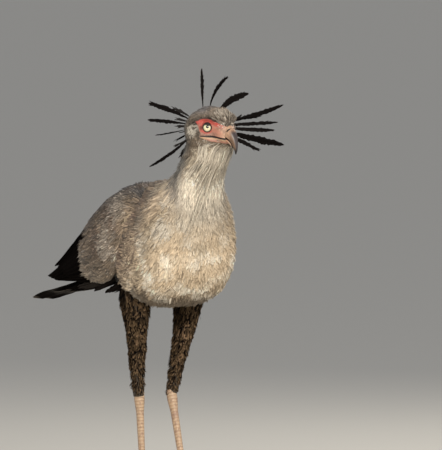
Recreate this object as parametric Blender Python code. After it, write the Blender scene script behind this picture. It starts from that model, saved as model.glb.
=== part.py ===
"""A secretary bird standing on both feet, life size: every named part is one closed solid.

Metres, +Z up. The bird faces -Y, its own left side is +X, and its soles lie in the plane z = 0.
Stations are given in a frame whose median plane is x = 0; the last step centres the whole on the origin.
"""
import math
import random

import bpy
import bmesh
from mathutils import Matrix, Vector, bvhtree

# Gap kept between two nodes that touch
GAP = 0.0003
CUT_MARGIN = 0.0004

# Trunk: back point (y, z), belly point (y, z), half width, height share of the widest place, belly fullness
TRUNK = [
    (0.235, 0.672, 0.215, 0.603, 0.026, 0.45, 0.10),
    (0.170, 0.716, 0.150, 0.580, 0.052, 0.45, 0.15),
    (0.100, 0.754, 0.085, 0.560, 0.076, 0.48, 0.22),
    (0.030, 0.799, 0.015, 0.548, 0.094, 0.50, 0.32),
    (-0.040, 0.818, -0.060, 0.545, 0.103, 0.52, 0.40),
    (-0.095, 0.824, -0.130, 0.562, 0.106, 0.54, 0.40),
    (-0.128, 0.837, -0.186, 0.615, 0.101, 0.56, 0.30),
    (-0.145, 0.849, -0.212, 0.680, 0.082, 0.58, 0.18),
    (-0.153, 0.860, -0.216, 0.742, 0.060, 0.58, 0.10),
    (-0.160, 0.873, -0.227, 0.797, 0.053, 0.55, 0.08),
]
NECK = [
    (-0.160, 0.873, -0.227, 0.797, 0.053, 0.55, 0.08),
    (-0.178, 0.892, -0.243, 0.835, 0.049, 0.52, 0.08),
    (-0.199, 0.912, -0.272, 0.868, 0.047, 0.50, 0.08),
]

# Head, turned to the bird's left about a vertical axis: back point (forward, z), throat point, half width
HEAD_AXIS_Y = -0.2532
HEAD_TURN = math.radians(12.0)
HEAD = [
    (-0.054, 0.912, 0.022, 0.868, 0.047, 0.50, 0.08),
    (-0.055, 0.938, 0.036, 0.886, 0.049, 0.46, 0.10),
    (-0.052, 0.963, 0.045, 0.898, 0.0525, 0.40, 0.12),
    (-0.038, 0.983, 0.052, 0.906, 0.0445, 0.36, 0.12),
    (-0.014, 0.9950, 0.057, 0.911, 0.0308, 0.38, 0.12),
    (0.014, 0.9955, 0.060, 0.9135, 0.0266, 0.46, 0.12),
    (0.038, 0.985, 0.0625, 0.9155, 0.0232, 0.52, 0.12),
    (0.056, 0.970, 0.0645, 0.9175, 0.0185, 0.55, 0.12),
    (0.067, 0.957, 0.0665, 0.9195, 0.0140, 0.60, 0.12),
]

# Bill: ridge point (forward, z), cutting edge point (forward, z), half width
BILL_UPPER = [
    (0.067, 0.957, 0.0665, 0.9285, 0.0135),
    (0.0755, 0.949, 0.0715, 0.927, 0.0125),
    (0.0825, 0.9395, 0.0755, 0.9235, 0.0105),
    (0.0875, 0.928, 0.0790, 0.918, 0.0080),
    (0.0903, 0.915, 0.0820, 0.911, 0.0055),
    (0.0903, 0.9035, 0.0845, 0.903, 0.0032),
    (0.0870, 0.8945, 0.0855, 0.8955, 0.0010),
]
BILL_LOWER = [
    (0.0666, 0.9277, 0.0668, 0.9197, 0.0125),
    (0.0712, 0.9262, 0.0722, 0.9165, 0.0115),
    (0.0750, 0.9227, 0.0762, 0.9135, 0.0095),
    (0.0780, 0.9170, 0.0785, 0.9100, 0.0070),
    (0.0795, 0.9120, 0.0792, 0.9075, 0.0040),
]

# Eyes: place in the head's frame (forward, sideways, z), radius, and angle of the gaze from forward
EYE_FORWARD = 0.0190
EYE_SIDE = 0.0242
EYE_Z = 0.9513
EYE_RADIUS = 0.0122
GAZE = math.radians(52.0)
LID_FORWARD = 0.0062
LID_MAJOR = 0.0109
LID_MINOR = 0.0024

# Crest: tip of each feather (forward, sideways, z), half width, bend, roll in degrees
CREST_ROOT = (-0.028, 0.0, 0.952)
CREST_SINK = 0.026
CREST = [
    (-0.020, -0.011, 1.078, 0.0042, 0.000, 0.0),
    (-0.010, 0.054, 1.058, 0.0060, -0.015, 10.0),
    (0.000, 0.103, 1.020, 0.0085, -0.010, -15.0),
    (0.010, 0.192, 0.992, 0.0062, 0.006, 5.0),
    (0.006, 0.134, 0.969, 0.0036, -0.002, 40.0),
    (0.015, 0.173, 0.955, 0.0046, 0.001, 0.0),
    (0.012, 0.166, 0.938, 0.0058, 0.002, -20.0),
    (0.020, 0.186, 0.905, 0.0085, 0.002, 10.0),
    (0.006, 0.129, 0.893, 0.0048, -0.003, 30.0),
    (-0.040, -0.142, 1.006, 0.0062, 0.0035, 0.0),
    (-0.046, -0.140, 0.969, 0.0050, 0.001, 12.0),
    (-0.052, -0.115, 0.934, 0.0028, -0.002, 60.0),
    (-0.088, -0.026, 0.919, 0.0058, -0.004, -10.0),
    (-0.040, -0.140, 0.867, 0.0042, -0.005, 30.0),
    (-0.105, -0.003, 0.879, 0.0035, -0.004, 20.0),
    (-0.110, 0.030, 0.960, 0.0055, -0.006, 0.0),
    (-0.085, 0.070, 0.900, 0.0050, -0.005, 15.0),
]

# Legs: (x, y, z, half width, half depth) down the right thigh; the left one mirrors x
THIGH = [
    (0.060, -0.012, 0.640, 0.026, 0.040),
    (0.064, -0.006, 0.600, 0.031, 0.050),
    (0.065, -0.004, 0.555, 0.030, 0.048),
    (0.058, 0.002, 0.489, 0.0225, 0.034),
    (0.050, 0.018, 0.422, 0.0175, 0.025),
    (0.043, 0.027, 0.367, 0.0145, 0.018),
    (0.0395, 0.030, 0.342, 0.0115, 0.0135),
]
SHANK_TOP = (0.039, 0.030, 0.3415)
ANKLE_RIGHT = (-0.038, -0.002, 0.026)
ANKLE_LEFT = (0.050, -0.066, 0.026)
SHANK = [
    (0.00, 0.0105, 0.0125),
    (0.06, 0.0110, 0.0120),
    (0.14, 0.0080, 0.0095),
    (0.50, 0.0062, 0.0075),
    (0.85, 0.0066, 0.0078),
    (1.00, 0.0075, 0.0085),
]
# Toes: name, angle from forward (outward positive), length of the fleshy toe, root half width
TOES = [
    ("inner", -26.0, 0.040, 0.0068),
    ("middle", 2.0, 0.056, 0.0075),
    ("outer", 30.0, 0.042, 0.0068),
    ("hind", 172.0, 0.020, 0.0055),
]
ANKLE_BALL = 0.0115
CLAW_LENGTH = 0.017
TOE_END_HALF = 0.0045

# Folded wing's outer surface: y, inner top edge (x, z), lower edge (x, z), widest x
WING = [
    (-0.075, 0.046, 0.788, 0.078, 0.728, 0.084),
    (-0.045, 0.034, 0.803, 0.088, 0.708, 0.096),
    (0.000, 0.018, 0.816, 0.096, 0.645, 0.110),
    (0.050, 0.013, 0.805, 0.090, 0.606, 0.115),
    (0.100, 0.012, 0.788, 0.082, 0.592, 0.112),
    (0.150, 0.012, 0.766, 0.072, 0.586, 0.104),
    (0.200, 0.012, 0.741, 0.062, 0.584, 0.092),
    (0.260, 0.013, 0.708, 0.052, 0.581, 0.077),
    (0.330, 0.015, 0.671, 0.044, 0.577, 0.060),
    (0.430, 0.017, 0.615, 0.034, 0.570, 0.045),
    (0.530, 0.016, 0.580, 0.024, 0.560, 0.030),
]
WING_CORE_END = 0.239
CORE_INSET = 0.0035
VANE_SINK = 0.0050
SHINGLE = math.radians(5.0)
# Tiers of the wing: name, root y, first and last tip y, first and last share, count, half width, lift of
# the tips over the wing's surface and lift added from each feather to the next
TIERS = [
    ("primaries", 0.175, 0.512, 0.450, 0.44, 0.88, 4, 0.0100, -0.0036, 0.0006),
    ("secondaries", 0.130, 0.485, 0.330, 0.13, 0.87, 7, 0.0175, 0.0000, 0.0011),
    ("greater_coverts", 0.070, 0.225, 0.195, 0.10, 0.90, 8, 0.0135, 0.0006, 0.0003),
    ("median_coverts", 0.010, 0.132, 0.112, 0.10, 0.88, 8, 0.0135, 0.0006, 0.0003),
    ("lesser_coverts", -0.034, 0.052, 0.040, 0.12, 0.78, 6, 0.0135, 0.0000, 0.0003),
]

# Tail: the line along the middle feathers (y, z), then each pair's tip y, spread and half width
TAIL_LINE = [
    (0.226, 0.637),
    (0.260, 0.616),
    (0.330, 0.585),
    (0.430, 0.557),
    (0.540, 0.533),
    (0.628, 0.515),
]
TAIL_CORE_END = 0.300
TAIL_FEATHER_ROOT = 0.262
TAIL_PAIRS = [
    (0.628, 0.014, 0.0180),
    (0.520, 0.013, 0.0165),
    (0.500, 0.018, 0.0155),
    (0.478, 0.022, 0.0145),
    (0.452, 0.026, 0.0135),
    (0.425, 0.029, 0.0125),
]
# Height of the topmost tail feather over the line, step from each to the next, and twist of the middle pair
TAIL_TOP = 0.004
TAIL_LAYER = 0.0013
TAIL_ROLL = 0.55
# Covert feathers over and under the root of the tail: root y, tip y, spread, half width, lift
TAIL_COVERTS = [
    (0.236, 0.400, 0.000, 0.0150, 0.0085),
    (0.240, 0.375, 0.014, 0.0135, 0.0072),
    (0.244, 0.350, 0.026, 0.0120, 0.0058),
]

# Face: mouth line in the head's frame (forward, z), brow and nostril
MOUTH = [(0.010, 0.9305), (0.022, 0.9290), (0.036, 0.9275), (0.052, 0.9278), (0.069, 0.9282)]
MOUTH_GROOVE = 0.0009
BROW = [(-0.006, 0.964), (0.012, 0.9665), (0.030, 0.9635), (0.046, 0.957)]
BROW_RADIUS = 0.0042
NOSTRIL = (0.0735, 0.9440)
NOSTRIL_SIZE = (0.0042, 0.0016, 0.0011)
NOSTRIL_SLANT = math.radians(-35.0)

SIDE = Vector((1.0, 0.0, 0.0))
UP = Vector((0.0, 0.0, 1.0))
SEED = 7


def catmull(rows, place):
    """A row read between the given ones: place 0 is the first row and len - 1 the last."""
    last = len(rows) - 1
    index = min(int(place), last - 1)
    t = place - index
    before = rows[max(index - 1, 0)]
    start = rows[index]
    end = rows[index + 1]
    after = rows[min(index + 2, last)]
    out = []
    for p0, p1, p2, p3 in zip(before, start, end, after):
        slope1 = (p2 - p0) / 2.0
        slope2 = (p3 - p1) / 2.0
        t2 = t * t
        t3 = t2 * t
        out.append((2 * t3 - 3 * t2 + 1) * p1 + (t3 - 2 * t2 + t) * slope1
                   + (3 * t2 - 2 * t3) * p2 + (t3 - t2) * slope2)
    return out


def signed_power(value, power):
    return math.copysign(abs(value) ** power, value)


def egg_ring(top, bottom, side, half_width, wide, sides, fullness=0.08):
    """Points round an egg section from its top point over the side to its bottom point, boxier if fuller."""
    middle = top.lerp(bottom, wide)
    ring = []
    for step in range(sides):
        angle = math.tau * step / sides
        power = 1.0 - (fullness if math.cos(angle) < 0 else min(fullness, 0.12))
        height = signed_power(math.cos(angle), power)
        across = signed_power(math.sin(angle), power)
        reach = (top - middle) if height > 0 else (middle - bottom)
        ring.append(middle + reach * height + side * (half_width * across))
    return ring


def mesh_object(name, points, faces):
    mesh = bpy.data.meshes.new(name)
    mesh.from_pydata([tuple(point) for point in points], [], faces)
    mesh.update()
    item = bpy.data.objects.new(name, mesh)
    bpy.context.scene.collection.objects.link(item)
    solid = bmesh.new()
    solid.from_mesh(mesh)
    bmesh.ops.recalc_face_normals(solid, faces=solid.faces)
    if solid.calc_volume(signed=True) < 0:
        bmesh.ops.reverse_faces(solid, faces=solid.faces)
    solid.to_mesh(mesh)
    solid.free()
    return item


def loft(name, rings):
    """A closed solid through the rings, each end filled by a fan from its middle."""
    sides = len(rings[0])
    points = [point for ring in rings for point in ring]
    faces = []
    for level in range(len(rings) - 1):
        for step in range(sides):
            after = (step + 1) % sides
            low = level * sides
            high = low + sides
            faces.append((low + step, low + after, high + after))
            faces.append((low + step, high + after, high + step))
    for level in (0, len(rings) - 1):
        centre = sum(rings[level], Vector()) / sides
        points.append(centre)
        tip = len(points) - 1
        for step in range(sides):
            faces.append((tip, level * sides + step, level * sides + (step + 1) % sides))
    return mesh_object(name, points, faces)


def vane(name, points, normals, half_widths, thickness=0.0009, edge=0.0006, camber=0.0):
    """A thin feather blade along the points, its spine raised by the camber; both faces split alike."""
    count = len(points)
    verts = []
    for index in range(count):
        ahead = (points[min(index + 1, count - 1)] - points[max(index - 1, 0)]).normalized()
        normal = (normals[index] - ahead * normals[index].dot(ahead)).normalized()
        reach = ahead.cross(normal) * half_widths[index]
        rim = normal * (edge / 2.0)
        centre = points[index]
        if camber:
            crown = normal * (camber * half_widths[index])
            spine = normal * (thickness / 2.0)
            verts += [centre - reach + rim, centre + crown + spine, centre + reach + rim,
                      centre + reach - rim, centre + crown - spine, centre - reach - rim]
        else:
            verts += [centre - reach + rim, centre + reach + rim,
                      centre + reach - rim, centre - reach - rim]
    corners = 6 if camber else 4
    faces = []
    for index in range(count - 1):
        low = index * corners
        high = low + corners
        for corner in range(corners):
            after = (corner + 1) % corners
            if corner < corners // 2:
                faces.append((low + corner, low + after, high + after))
                faces.append((low + corner, high + after, high + corner))
            else:
                faces.append((low + corner, low + after, high + corner))
                faces.append((low + after, high + after, high + corner))
    for start in (0, (count - 1) * corners):
        if camber:
            faces.append((start, start + 1, start + 4, start + 5))
            faces.append((start + 1, start + 2, start + 3, start + 4))
        else:
            faces.append((start, start + 1, start + 2, start + 3))
    return mesh_object(name, verts, faces)


# Shares of a feather's length where its sections lie, closer together at the rounded tip
SHORT_SECTIONS = (0.0, 0.45, 0.86, 1.0)
LONG_SECTIONS = (0.0, 0.30, 0.65, 0.91, 1.0)
CREST_SECTIONS = (0.0, 0.30, 0.55, 0.78, 0.94, 1.0)


def blade_profile(t, root_share, peak, tip_share=0.12):
    """Half width along a feather as a share of its widest, from quill (t = 0) to tip (t = 1)."""
    if t < peak:
        s = t / peak
        return root_share + (1.0 - root_share) * s * s * (3.0 - 2.0 * s)
    s = (t - peak) / (1.0 - peak)
    return max(math.sqrt(max(1.0 - s * s, 0.0)), tip_share)


def tube(name, centres, radius, sides=8):
    """A round bar through the centres, with ends rounded to a point."""
    rings = []
    count = len(centres)
    for index, centre in enumerate(centres):
        ahead = centres[min(index + 1, count - 1)] - centres[max(index - 1, 0)]
        axis = ahead.normalized()
        size = radius * (0.35 if index in (0, count - 1) else 1.0)
        rings.append(oval_ring(centre, axis, axis.cross(UP), size, size, sides))
    return loft(name, rings)


def paint(item, colour, roughness):
    """Give the node its own Principled material and smooth shading."""
    material = bpy.data.materials.new(item.name)
    material.use_nodes = True
    shader = material.node_tree.nodes["Principled BSDF"]
    shader.inputs["Base Color"].default_value = (*colour, 1.0)
    shader.inputs["Roughness"].default_value = roughness
    shader.inputs["Metallic"].default_value = 0.0
    item.data.materials.clear()
    item.data.materials.append(material)
    item.data.shade_smooth()
    item.data.set_sharp_from_angle(angle=math.radians(40.0))


def bake_modifiers(item):
    graph = bpy.context.evaluated_depsgraph_get()
    done = bpy.data.meshes.new_from_object(item.evaluated_get(graph))
    item.modifiers.clear()
    item.data = done


def largest_body(item):
    """Keep the node's largest closed surface and drop sealed hollows and scraps."""
    solid = bmesh.new()
    solid.from_mesh(item.data)
    bmesh.ops.triangulate(solid, faces=solid.faces)
    groups = []
    seen = set()
    for face in solid.faces:
        if face in seen:
            continue
        group = []
        stack = [face]
        seen.add(face)
        while stack:
            current = stack.pop()
            group.append(current)
            for edge in current.edges:
                for other in edge.link_faces:
                    if other not in seen:
                        seen.add(other)
                        stack.append(other)
        volume = 0.0
        for member in group:
            a, b, c = (vert.co for vert in member.verts)
            volume += a.dot(b.cross(c)) / 6.0
        groups.append((volume, group))
    groups.sort(key=lambda pair: pair[0], reverse=True)
    extra = [face for volume, group in groups[1:] for face in group]
    bmesh.ops.delete(solid, geom=extra, context="FACES")
    loose = [vert for vert in solid.verts if not vert.link_faces]
    bmesh.ops.delete(solid, geom=loose, context="VERTS")
    solid.to_mesh(item.data)
    solid.free()


def combine(item, others, operation):
    """One Boolean of the item with a collection of closed meshes, applied, the others removed."""
    group = bpy.data.collections.new(item.name + "_pieces")
    for other in others:
        group.objects.link(other)
    boolean = item.modifiers.new("combine", "BOOLEAN")
    boolean.operation = operation
    boolean.operand_type = "COLLECTION"
    boolean.collection = group
    boolean.solver = "EXACT"
    bake_modifiers(item)
    for other in others:
        bpy.data.objects.remove(other)
    bpy.data.collections.remove(group)
    largest_body(item)


def swollen(item, margin):
    """A copy of the item, grown outwards by the margin, to cut a neighbour with."""
    copy = bpy.data.objects.new(item.name + "_swollen", item.data.copy())
    bpy.context.scene.collection.objects.link(copy)
    normals = [vertex.normal.copy() for vertex in copy.data.vertices]
    for vertex, normal in zip(copy.data.vertices, normals):
        vertex.co += normal * margin
    return copy


def head_point(forward, sideways, z):
    """A point given in the turned head's own frame; sideways is to the bird's left."""
    ahead = Vector((math.sin(HEAD_TURN), -math.cos(HEAD_TURN), 0.0))
    left = Vector((math.cos(HEAD_TURN), math.sin(HEAD_TURN), 0.0))
    return Vector((0.0, HEAD_AXIS_Y, z)) + ahead * forward + left * sideways


def head_vector(forward, sideways, rise):
    return head_point(forward, sideways, rise) - head_point(0.0, 0.0, 0.0)


def trunk_rings(rows, count, sides, turned):
    rings = []
    for step in range(count):
        row = catmull(rows, (len(rows) - 1) * step / (count - 1))
        if turned:
            top = head_point(row[0], 0.0, row[1])
            bottom = head_point(row[2], 0.0, row[3])
            side = head_vector(0.0, 1.0, 0.0)
        else:
            top = Vector((0.0, row[0], row[1]))
            bottom = Vector((0.0, row[2], row[3]))
            side = SIDE
        rings.append(egg_ring(top, bottom, side, row[4], row[5], sides, row[6]))
    return rings


def build_torso():
    torso = loft("torso", trunk_rings(TRUNK, 20, 24, False))
    paint(torso, (0.62, 0.54, 0.44), 0.9)
    return torso


def build_neck():
    rings = trunk_rings(NECK, 7, 22, False)
    turned = trunk_rings(HEAD[:2], 2, 22, True)[0]
    start = rings[0]
    axis = (sum(rings[1], Vector()) - sum(start, Vector())).normalized()
    rings[0] = [point + axis * GAP for point in start]
    rings[-1] = turned
    neck = loft("neck", rings)
    paint(neck, (0.55, 0.52, 0.47), 0.9)
    return neck


def build_head_core():
    rings = trunk_rings(HEAD, 16, 22, True)
    axis = (sum(rings[1], Vector()) - sum(rings[0], Vector())).normalized()
    rings[0] = [point + axis * GAP for point in rings[0]]
    return loft("head", rings)


def build_bill(name, rows, wide):
    rings = []
    count = 10
    for step in range(count):
        row = catmull(rows, (len(rows) - 1) * step / (count - 1))
        top = head_point(row[0], 0.0, row[1])
        bottom = head_point(row[2], 0.0, row[3])
        if step == 0:
            top += head_vector(GAP * 1.5, 0.0, 0.0)
            bottom += head_vector(GAP * 1.5, 0.0, 0.0)
        rings.append(egg_ring(top, bottom, head_vector(0.0, 1.0, 0.0), row[4], wide, 14, 0.2))
    bill = loft(name, rings)
    if name == "bill_upper":
        on_side = side_finder(bill)
        nostrils = []
        for sign in (-1, 1):
            nostril = ball("nostril", Vector(), 1.0, 8, 6)
            shape = Matrix.Diagonal((*NOSTRIL_SIZE, 1.0))
            slant = Matrix.Rotation(NOSTRIL_SLANT, 4, "Y")
            turn = Matrix.Rotation(HEAD_TURN - math.pi / 2.0, 4, "Z")
            place = Matrix.Translation(on_side(NOSTRIL[0], NOSTRIL[1], sign))
            nostril.data.transform(place @ turn @ slant @ shape)
            nostrils.append(nostril)
        combine(bill, nostrils, "DIFFERENCE")
    paint(bill, (0.24, 0.25, 0.26), 0.45)
    return bill


def eye_centre(sign):
    return head_point(EYE_FORWARD, sign * EYE_SIDE, EYE_Z)


def ball(name, centre, radius, segments=16, rings=10):
    bm = bmesh.new()
    bmesh.ops.create_uvsphere(bm, u_segments=segments, v_segments=rings, radius=radius)
    bmesh.ops.translate(bm, verts=bm.verts, vec=centre)
    mesh = bpy.data.meshes.new(name)
    bm.to_mesh(mesh)
    bm.free()
    item = bpy.data.objects.new(name, mesh)
    bpy.context.scene.collection.objects.link(item)
    return item


def build_eye(name, sign):
    eye = ball(name, eye_centre(sign), EYE_RADIUS)
    paint(eye, (0.75, 0.72, 0.5), 0.08)
    return eye


def gaze(sign):
    return head_vector(math.cos(GAZE), sign * math.sin(GAZE), 0.0)


def ring_solid(name, centre, axis, major, minor, segments=16, sides=5):
    """A round bead that runs in a circle about the axis."""
    across = axis.cross(UP).normalized()
    rise = across.cross(axis).normalized()
    points = []
    faces = []
    for step in range(segments):
        turn = math.tau * step / segments
        out = across * math.cos(turn) + rise * math.sin(turn)
        for k in range(sides):
            roll = math.tau * k / sides
            points.append(centre + out * (major + minor * math.cos(roll)) + axis * (minor * math.sin(roll)))
            faces.append((step * sides + k, step * sides + (k + 1) % sides,
                          (step + 1) % segments * sides + (k + 1) % sides,
                          (step + 1) % segments * sides + k))
    return mesh_object(name, points, faces)


def side_finder(item):
    """Read the half width of a symmetric node at a place given in the head's frame."""
    tree = bvhtree.BVHTree.FromPolygons([vertex.co.copy() for vertex in item.data.vertices],
                                        [tuple(face.vertices) for face in item.data.polygons])

    def on_side(forward, z, sign, lift=0.0):
        start = head_point(forward, sign * 0.2, z)
        hit = tree.ray_cast(start, head_vector(0.0, -sign, 0.0))[0]
        return hit + head_vector(0.0, sign * lift, 0.0)

    return on_side


def smooth_path(rows, count):
    return [catmull(rows, (len(rows) - 1) * step / (count - 1)) for step in range(count)]


def build_crest():
    """The long black crest, feather by feather, each rooted in the back of the crown."""
    centre = head_point(*CREST_ROOT)
    feathers = []
    for forward, sideways, z, half, bend, roll in CREST:
        tip = head_point(forward, sideways, z)
        ahead = (tip - centre).normalized()
        root = centre + ahead * CREST_SINK
        facing = head_vector(1.0, 0.15 * math.copysign(1.0, sideways), 0.1)
        if abs(ahead.dot(facing.normalized())) > 0.7:
            facing = UP + ahead.cross(UP) * 0.3
        turn = Matrix.Rotation(math.radians(roll), 3, ahead)
        normal = turn @ facing
        sweep = ahead.cross(normal).normalized()
        points = []
        widths = []
        for t in CREST_SECTIONS:
            points.append(root.lerp(tip, t) + sweep * (bend * 4.0 * t * (1.0 - t)))
            widths.append(half * blade_profile(t, 0.22, 0.70, 0.3))
        feathers.append(vane("crest", points, [normal] * len(points), widths, 0.0011, 0.0007, 0.08))
    return feathers


def build_head():
    head = build_head_core()
    on_side = side_finder(head)
    additions = build_crest()
    grooves = []
    for sign in (-1, 1):
        rim_centre = eye_centre(sign) + gaze(sign) * LID_FORWARD
        additions.append(ring_solid("lids", rim_centre, gaze(sign), LID_MAJOR, LID_MINOR))
        brow = [on_side(forward, z, sign, -0.0012) for forward, z in smooth_path(BROW, 6)]
        additions.append(tube("brow", brow, BROW_RADIUS))
        mouth = [on_side(min(forward, 0.064), z, sign) + head_vector(max(forward - 0.064, 0.0), 0.0, 0.0)
                 for forward, z in smooth_path(MOUTH, 8)]
        grooves.append(tube("mouth", mouth, MOUTH_GROOVE, 6))
    combine(head, additions, "UNION")
    sockets = [ball("socket", eye_centre(sign), EYE_RADIUS + GAP, 16, 10) for sign in (-1, 1)]
    combine(head, sockets + grooves, "DIFFERENCE")
    paint(head, (0.45, 0.42, 0.38), 0.85)
    return head


def oval_ring(centre, axis, across, half_width, half_depth, sides):
    """An ellipse round the centre, in the plane square to the axis."""
    side = (across - axis * across.dot(axis)).normalized()
    front = axis.cross(side).normalized()
    ring = []
    for step in range(sides):
        angle = math.tau * step / sides
        ring.append(centre + side * (half_width * math.cos(angle)) + front * (half_depth * math.sin(angle)))
    return ring


def build_thigh(name, sign, torso):
    rings = []
    count = 13
    for step in range(count):
        row = catmull(THIGH, (len(THIGH) - 1) * step / (count - 1))
        centre = Vector((sign * row[0], row[1], row[2]))
        rings.append(oval_ring(centre, UP, SIDE, row[3], row[4], 18))
    thigh = loft(name, rings)
    combine(thigh, [swollen(torso, CUT_MARGIN)], "DIFFERENCE")
    paint(thigh, (0.055, 0.04, 0.032), 0.9)
    return thigh


def build_shank(name, sign, ankle):
    top = Vector((sign * SHANK_TOP[0], SHANK_TOP[1], SHANK_TOP[2] - GAP))
    foot = Vector(ankle)
    axis = (foot - top).normalized()
    rings = []
    for share, half_width, half_depth in SHANK:
        end = share in (0.0, 1.0)
        rings.append(oval_ring(top.lerp(foot, share), -UP if end else axis, SIDE,
                               half_width, half_depth, 14))
    shank = loft(name, rings)
    paint(shank, (0.62, 0.42, 0.33), 0.6)
    return shank


def toe_rings(start, heading, length, root_half, sides=8):
    """Sections of one toe: two pads, flattened where the toe rests on the floor."""
    rings = []
    side = heading.cross(UP).normalized()
    count = 7
    for step in range(count):
        t = step / (count - 1)
        half = root_half + (TOE_END_HALF - root_half) * t
        half *= 1.0 + 0.10 * math.cos(t * math.tau * 2.0)
        height = half * 1.05
        centre = start + heading * (length * t)
        centre.z = height - 0.0012
        if step == 0:
            centre.z += 0.003
        ring = []
        for corner in range(sides):
            angle = math.tau * (corner + 0.5) / sides
            point = centre + side * (half * math.cos(angle)) + UP * (height * math.sin(angle))
            point.z = max(point.z, 0.0)
            ring.append(point)
        rings.append(ring)
    return rings


def toe_heading(sign, angle):
    turn = math.radians(angle)
    return Vector((sign * math.sin(turn), -math.cos(turn), 0.0))


def build_foot(side_name, sign, ankle):
    foot_name = "foot_" + side_name
    centre = Vector(ankle)
    base = Vector((centre.x, centre.y, 0.0))
    pieces = []
    claws = []
    for toe_name, angle, length, root_half in TOES:
        heading = toe_heading(sign, angle)
        start = base + heading * 0.004
        rings = toe_rings(start, heading, length, root_half)
        pieces.append(loft("toe", rings))
        end = sum(rings[-1], Vector()) / len(rings[-1])
        claws.append(build_claw("claw_" + toe_name + "_" + side_name, end, heading))
    ankle_rings = []
    for z, half in ((0.004, 0.0095), (0.010, ANKLE_BALL), (0.018, 0.0100), (0.0257, 0.0086)):
        middle = Vector((centre.x, centre.y, z))
        ankle_rings.append(oval_ring(middle, UP, SIDE, half, half * 1.05, 14))
    foot = loft(foot_name, ankle_rings)
    combine(foot, pieces, "UNION")
    paint(foot, (0.58, 0.40, 0.31), 0.65)
    return [foot] + claws


def build_claw(name, start, heading):
    """A short blunt claw that curves down from the toe's end and stays clear of the floor."""
    side = heading.cross(UP).normalized()
    rings = []
    count = 6
    for step in range(count):
        t = step / (count - 1)
        half = 0.0036 * (1.0 - t) ** 0.7 + 0.0005
        drop = 0.0034 * t * t - 0.0012 * math.sin(math.pi * t)
        centre = start + heading * (GAP + CLAW_LENGTH * t) + UP * (0.0006 - drop)
        centre.z = max(centre.z, half + GAP)
        rings.append([centre + side * (half * 0.8 * math.cos(math.tau * k / 8))
                      + UP * (half * math.sin(math.tau * k / 8)) for k in range(8)])
    claw = loft(name, rings)
    paint(claw, (0.05, 0.045, 0.04), 0.4)
    return claw


def wing_point(y, share, sign, depth=0.0):
    """A point of the folded wing's outer surface: share 0 is the top edge and 1 the lower edge."""
    place = 0.0
    for index in range(len(WING) - 1):
        if y >= WING[index][0]:
            place = index + min((y - WING[index][0]) / (WING[index + 1][0] - WING[index][0]), 1.0)
    row = catmull(WING, place)
    top_x, top_z, low_x, low_z, wide_x = row[1:]
    angle = math.pi * share
    swell = math.sin(angle) ** 0.72
    edge_x = top_x if share < 0.5 else low_x
    x = edge_x + (wide_x - edge_x) * swell - depth * swell
    half = (top_z - low_z) / 2.0
    height = signed_power(math.cos(angle), 0.8)
    z = (top_z + low_z) / 2.0 + half * height - depth * height
    return Vector((sign * x, y, z))


def wing_normal(y, share, sign):
    """Outward direction of the wing's surface."""
    step = 0.004
    share = min(max(share, 0.03), 0.97)
    along = wing_point(y + step, share, sign) - wing_point(y - step, share, sign)
    down = wing_point(y, share + 0.02, sign) - wing_point(y, share - 0.02, sign)
    return (down.cross(along) * sign).normalized()


def core_depth(y):
    """Thickness of the wing under its feathers, thick at the wrist and thin at the back."""
    return 0.0035 + 0.0135 * max(0.0, 1.0 - (y + 0.045) / 0.28)


def wing_vane(name, y_root, y_tip, share_root, share_tip, sign, half, lift, slope):
    """A feather that lies along the wing: sunk at its root, lifted towards its tip."""
    points = []
    normals = []
    widths = []
    for t in LONG_SECTIONS if y_tip - y_root > 0.15 else SHORT_SECTIONS:
        y = y_root + (y_tip - y_root) * t
        share = share_root + (share_tip - share_root) * t
        normal = wing_normal(y, share, sign)
        height = -VANE_SINK + (lift + VANE_SINK) * t ** 0.8
        points.append(wing_point(y, share, sign) + normal * height)
        tilt = Matrix.Rotation(-slope * sign, 3, Vector((0.0, 1.0, 0.0)))
        normals.append(tilt @ normal)
        widths.append(half * blade_profile(t, 0.55, 0.5, 0.35))
    return vane(name, points, normals, widths)


def build_wing(name, sign, cutters):
    rings = []
    count = 9
    around = 8
    first = WING[0][0]
    for step in range(count):
        y = first + (WING_CORE_END - first) * step / (count - 1)
        shares = [0.04 + 0.92 * k / around for k in range(around + 1)]
        outer = [wing_point(y, share, sign, CORE_INSET) for share in shares]
        inner = [wing_point(y, share, sign, CORE_INSET + core_depth(y)) for share in reversed(shares)]
        rings.append(outer + inner)
    wing = loft(name, rings)
    draw = random.Random(SEED)
    feathers = []
    for tier, y_root, tip_top, tip_low, share_top, share_low, number, half, lift, layer in TIERS:
        for index in range(number):
            part = index / (number - 1)
            share = share_top + (share_low - share_top) * part
            y_tip = tip_top + (tip_low - tip_top) * part + draw.uniform(-0.004, 0.004)
            feathers.append(wing_vane(tier, y_root + draw.uniform(-0.003, 0.003), y_tip,
                                      share, share + draw.uniform(-0.004, 0.004), sign, half,
                                      lift + layer * (number - 1 - index), SHINGLE))
    combine(wing, feathers, "UNION")
    combine(wing, cutters, "DIFFERENCE")
    paint(wing, (0.36, 0.32, 0.29), 0.85)
    return wing


def tail_point(y, x=0.0, lift=0.0):
    """A point over the tail's middle line at this y."""
    place = 0.0
    for index in range(len(TAIL_LINE) - 1):
        if y >= TAIL_LINE[index][0]:
            span = TAIL_LINE[index + 1][0] - TAIL_LINE[index][0]
            place = index + min((y - TAIL_LINE[index][0]) / span, 1.0)
    return Vector((x, y, catmull(TAIL_LINE, place)[1] + lift))


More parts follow.
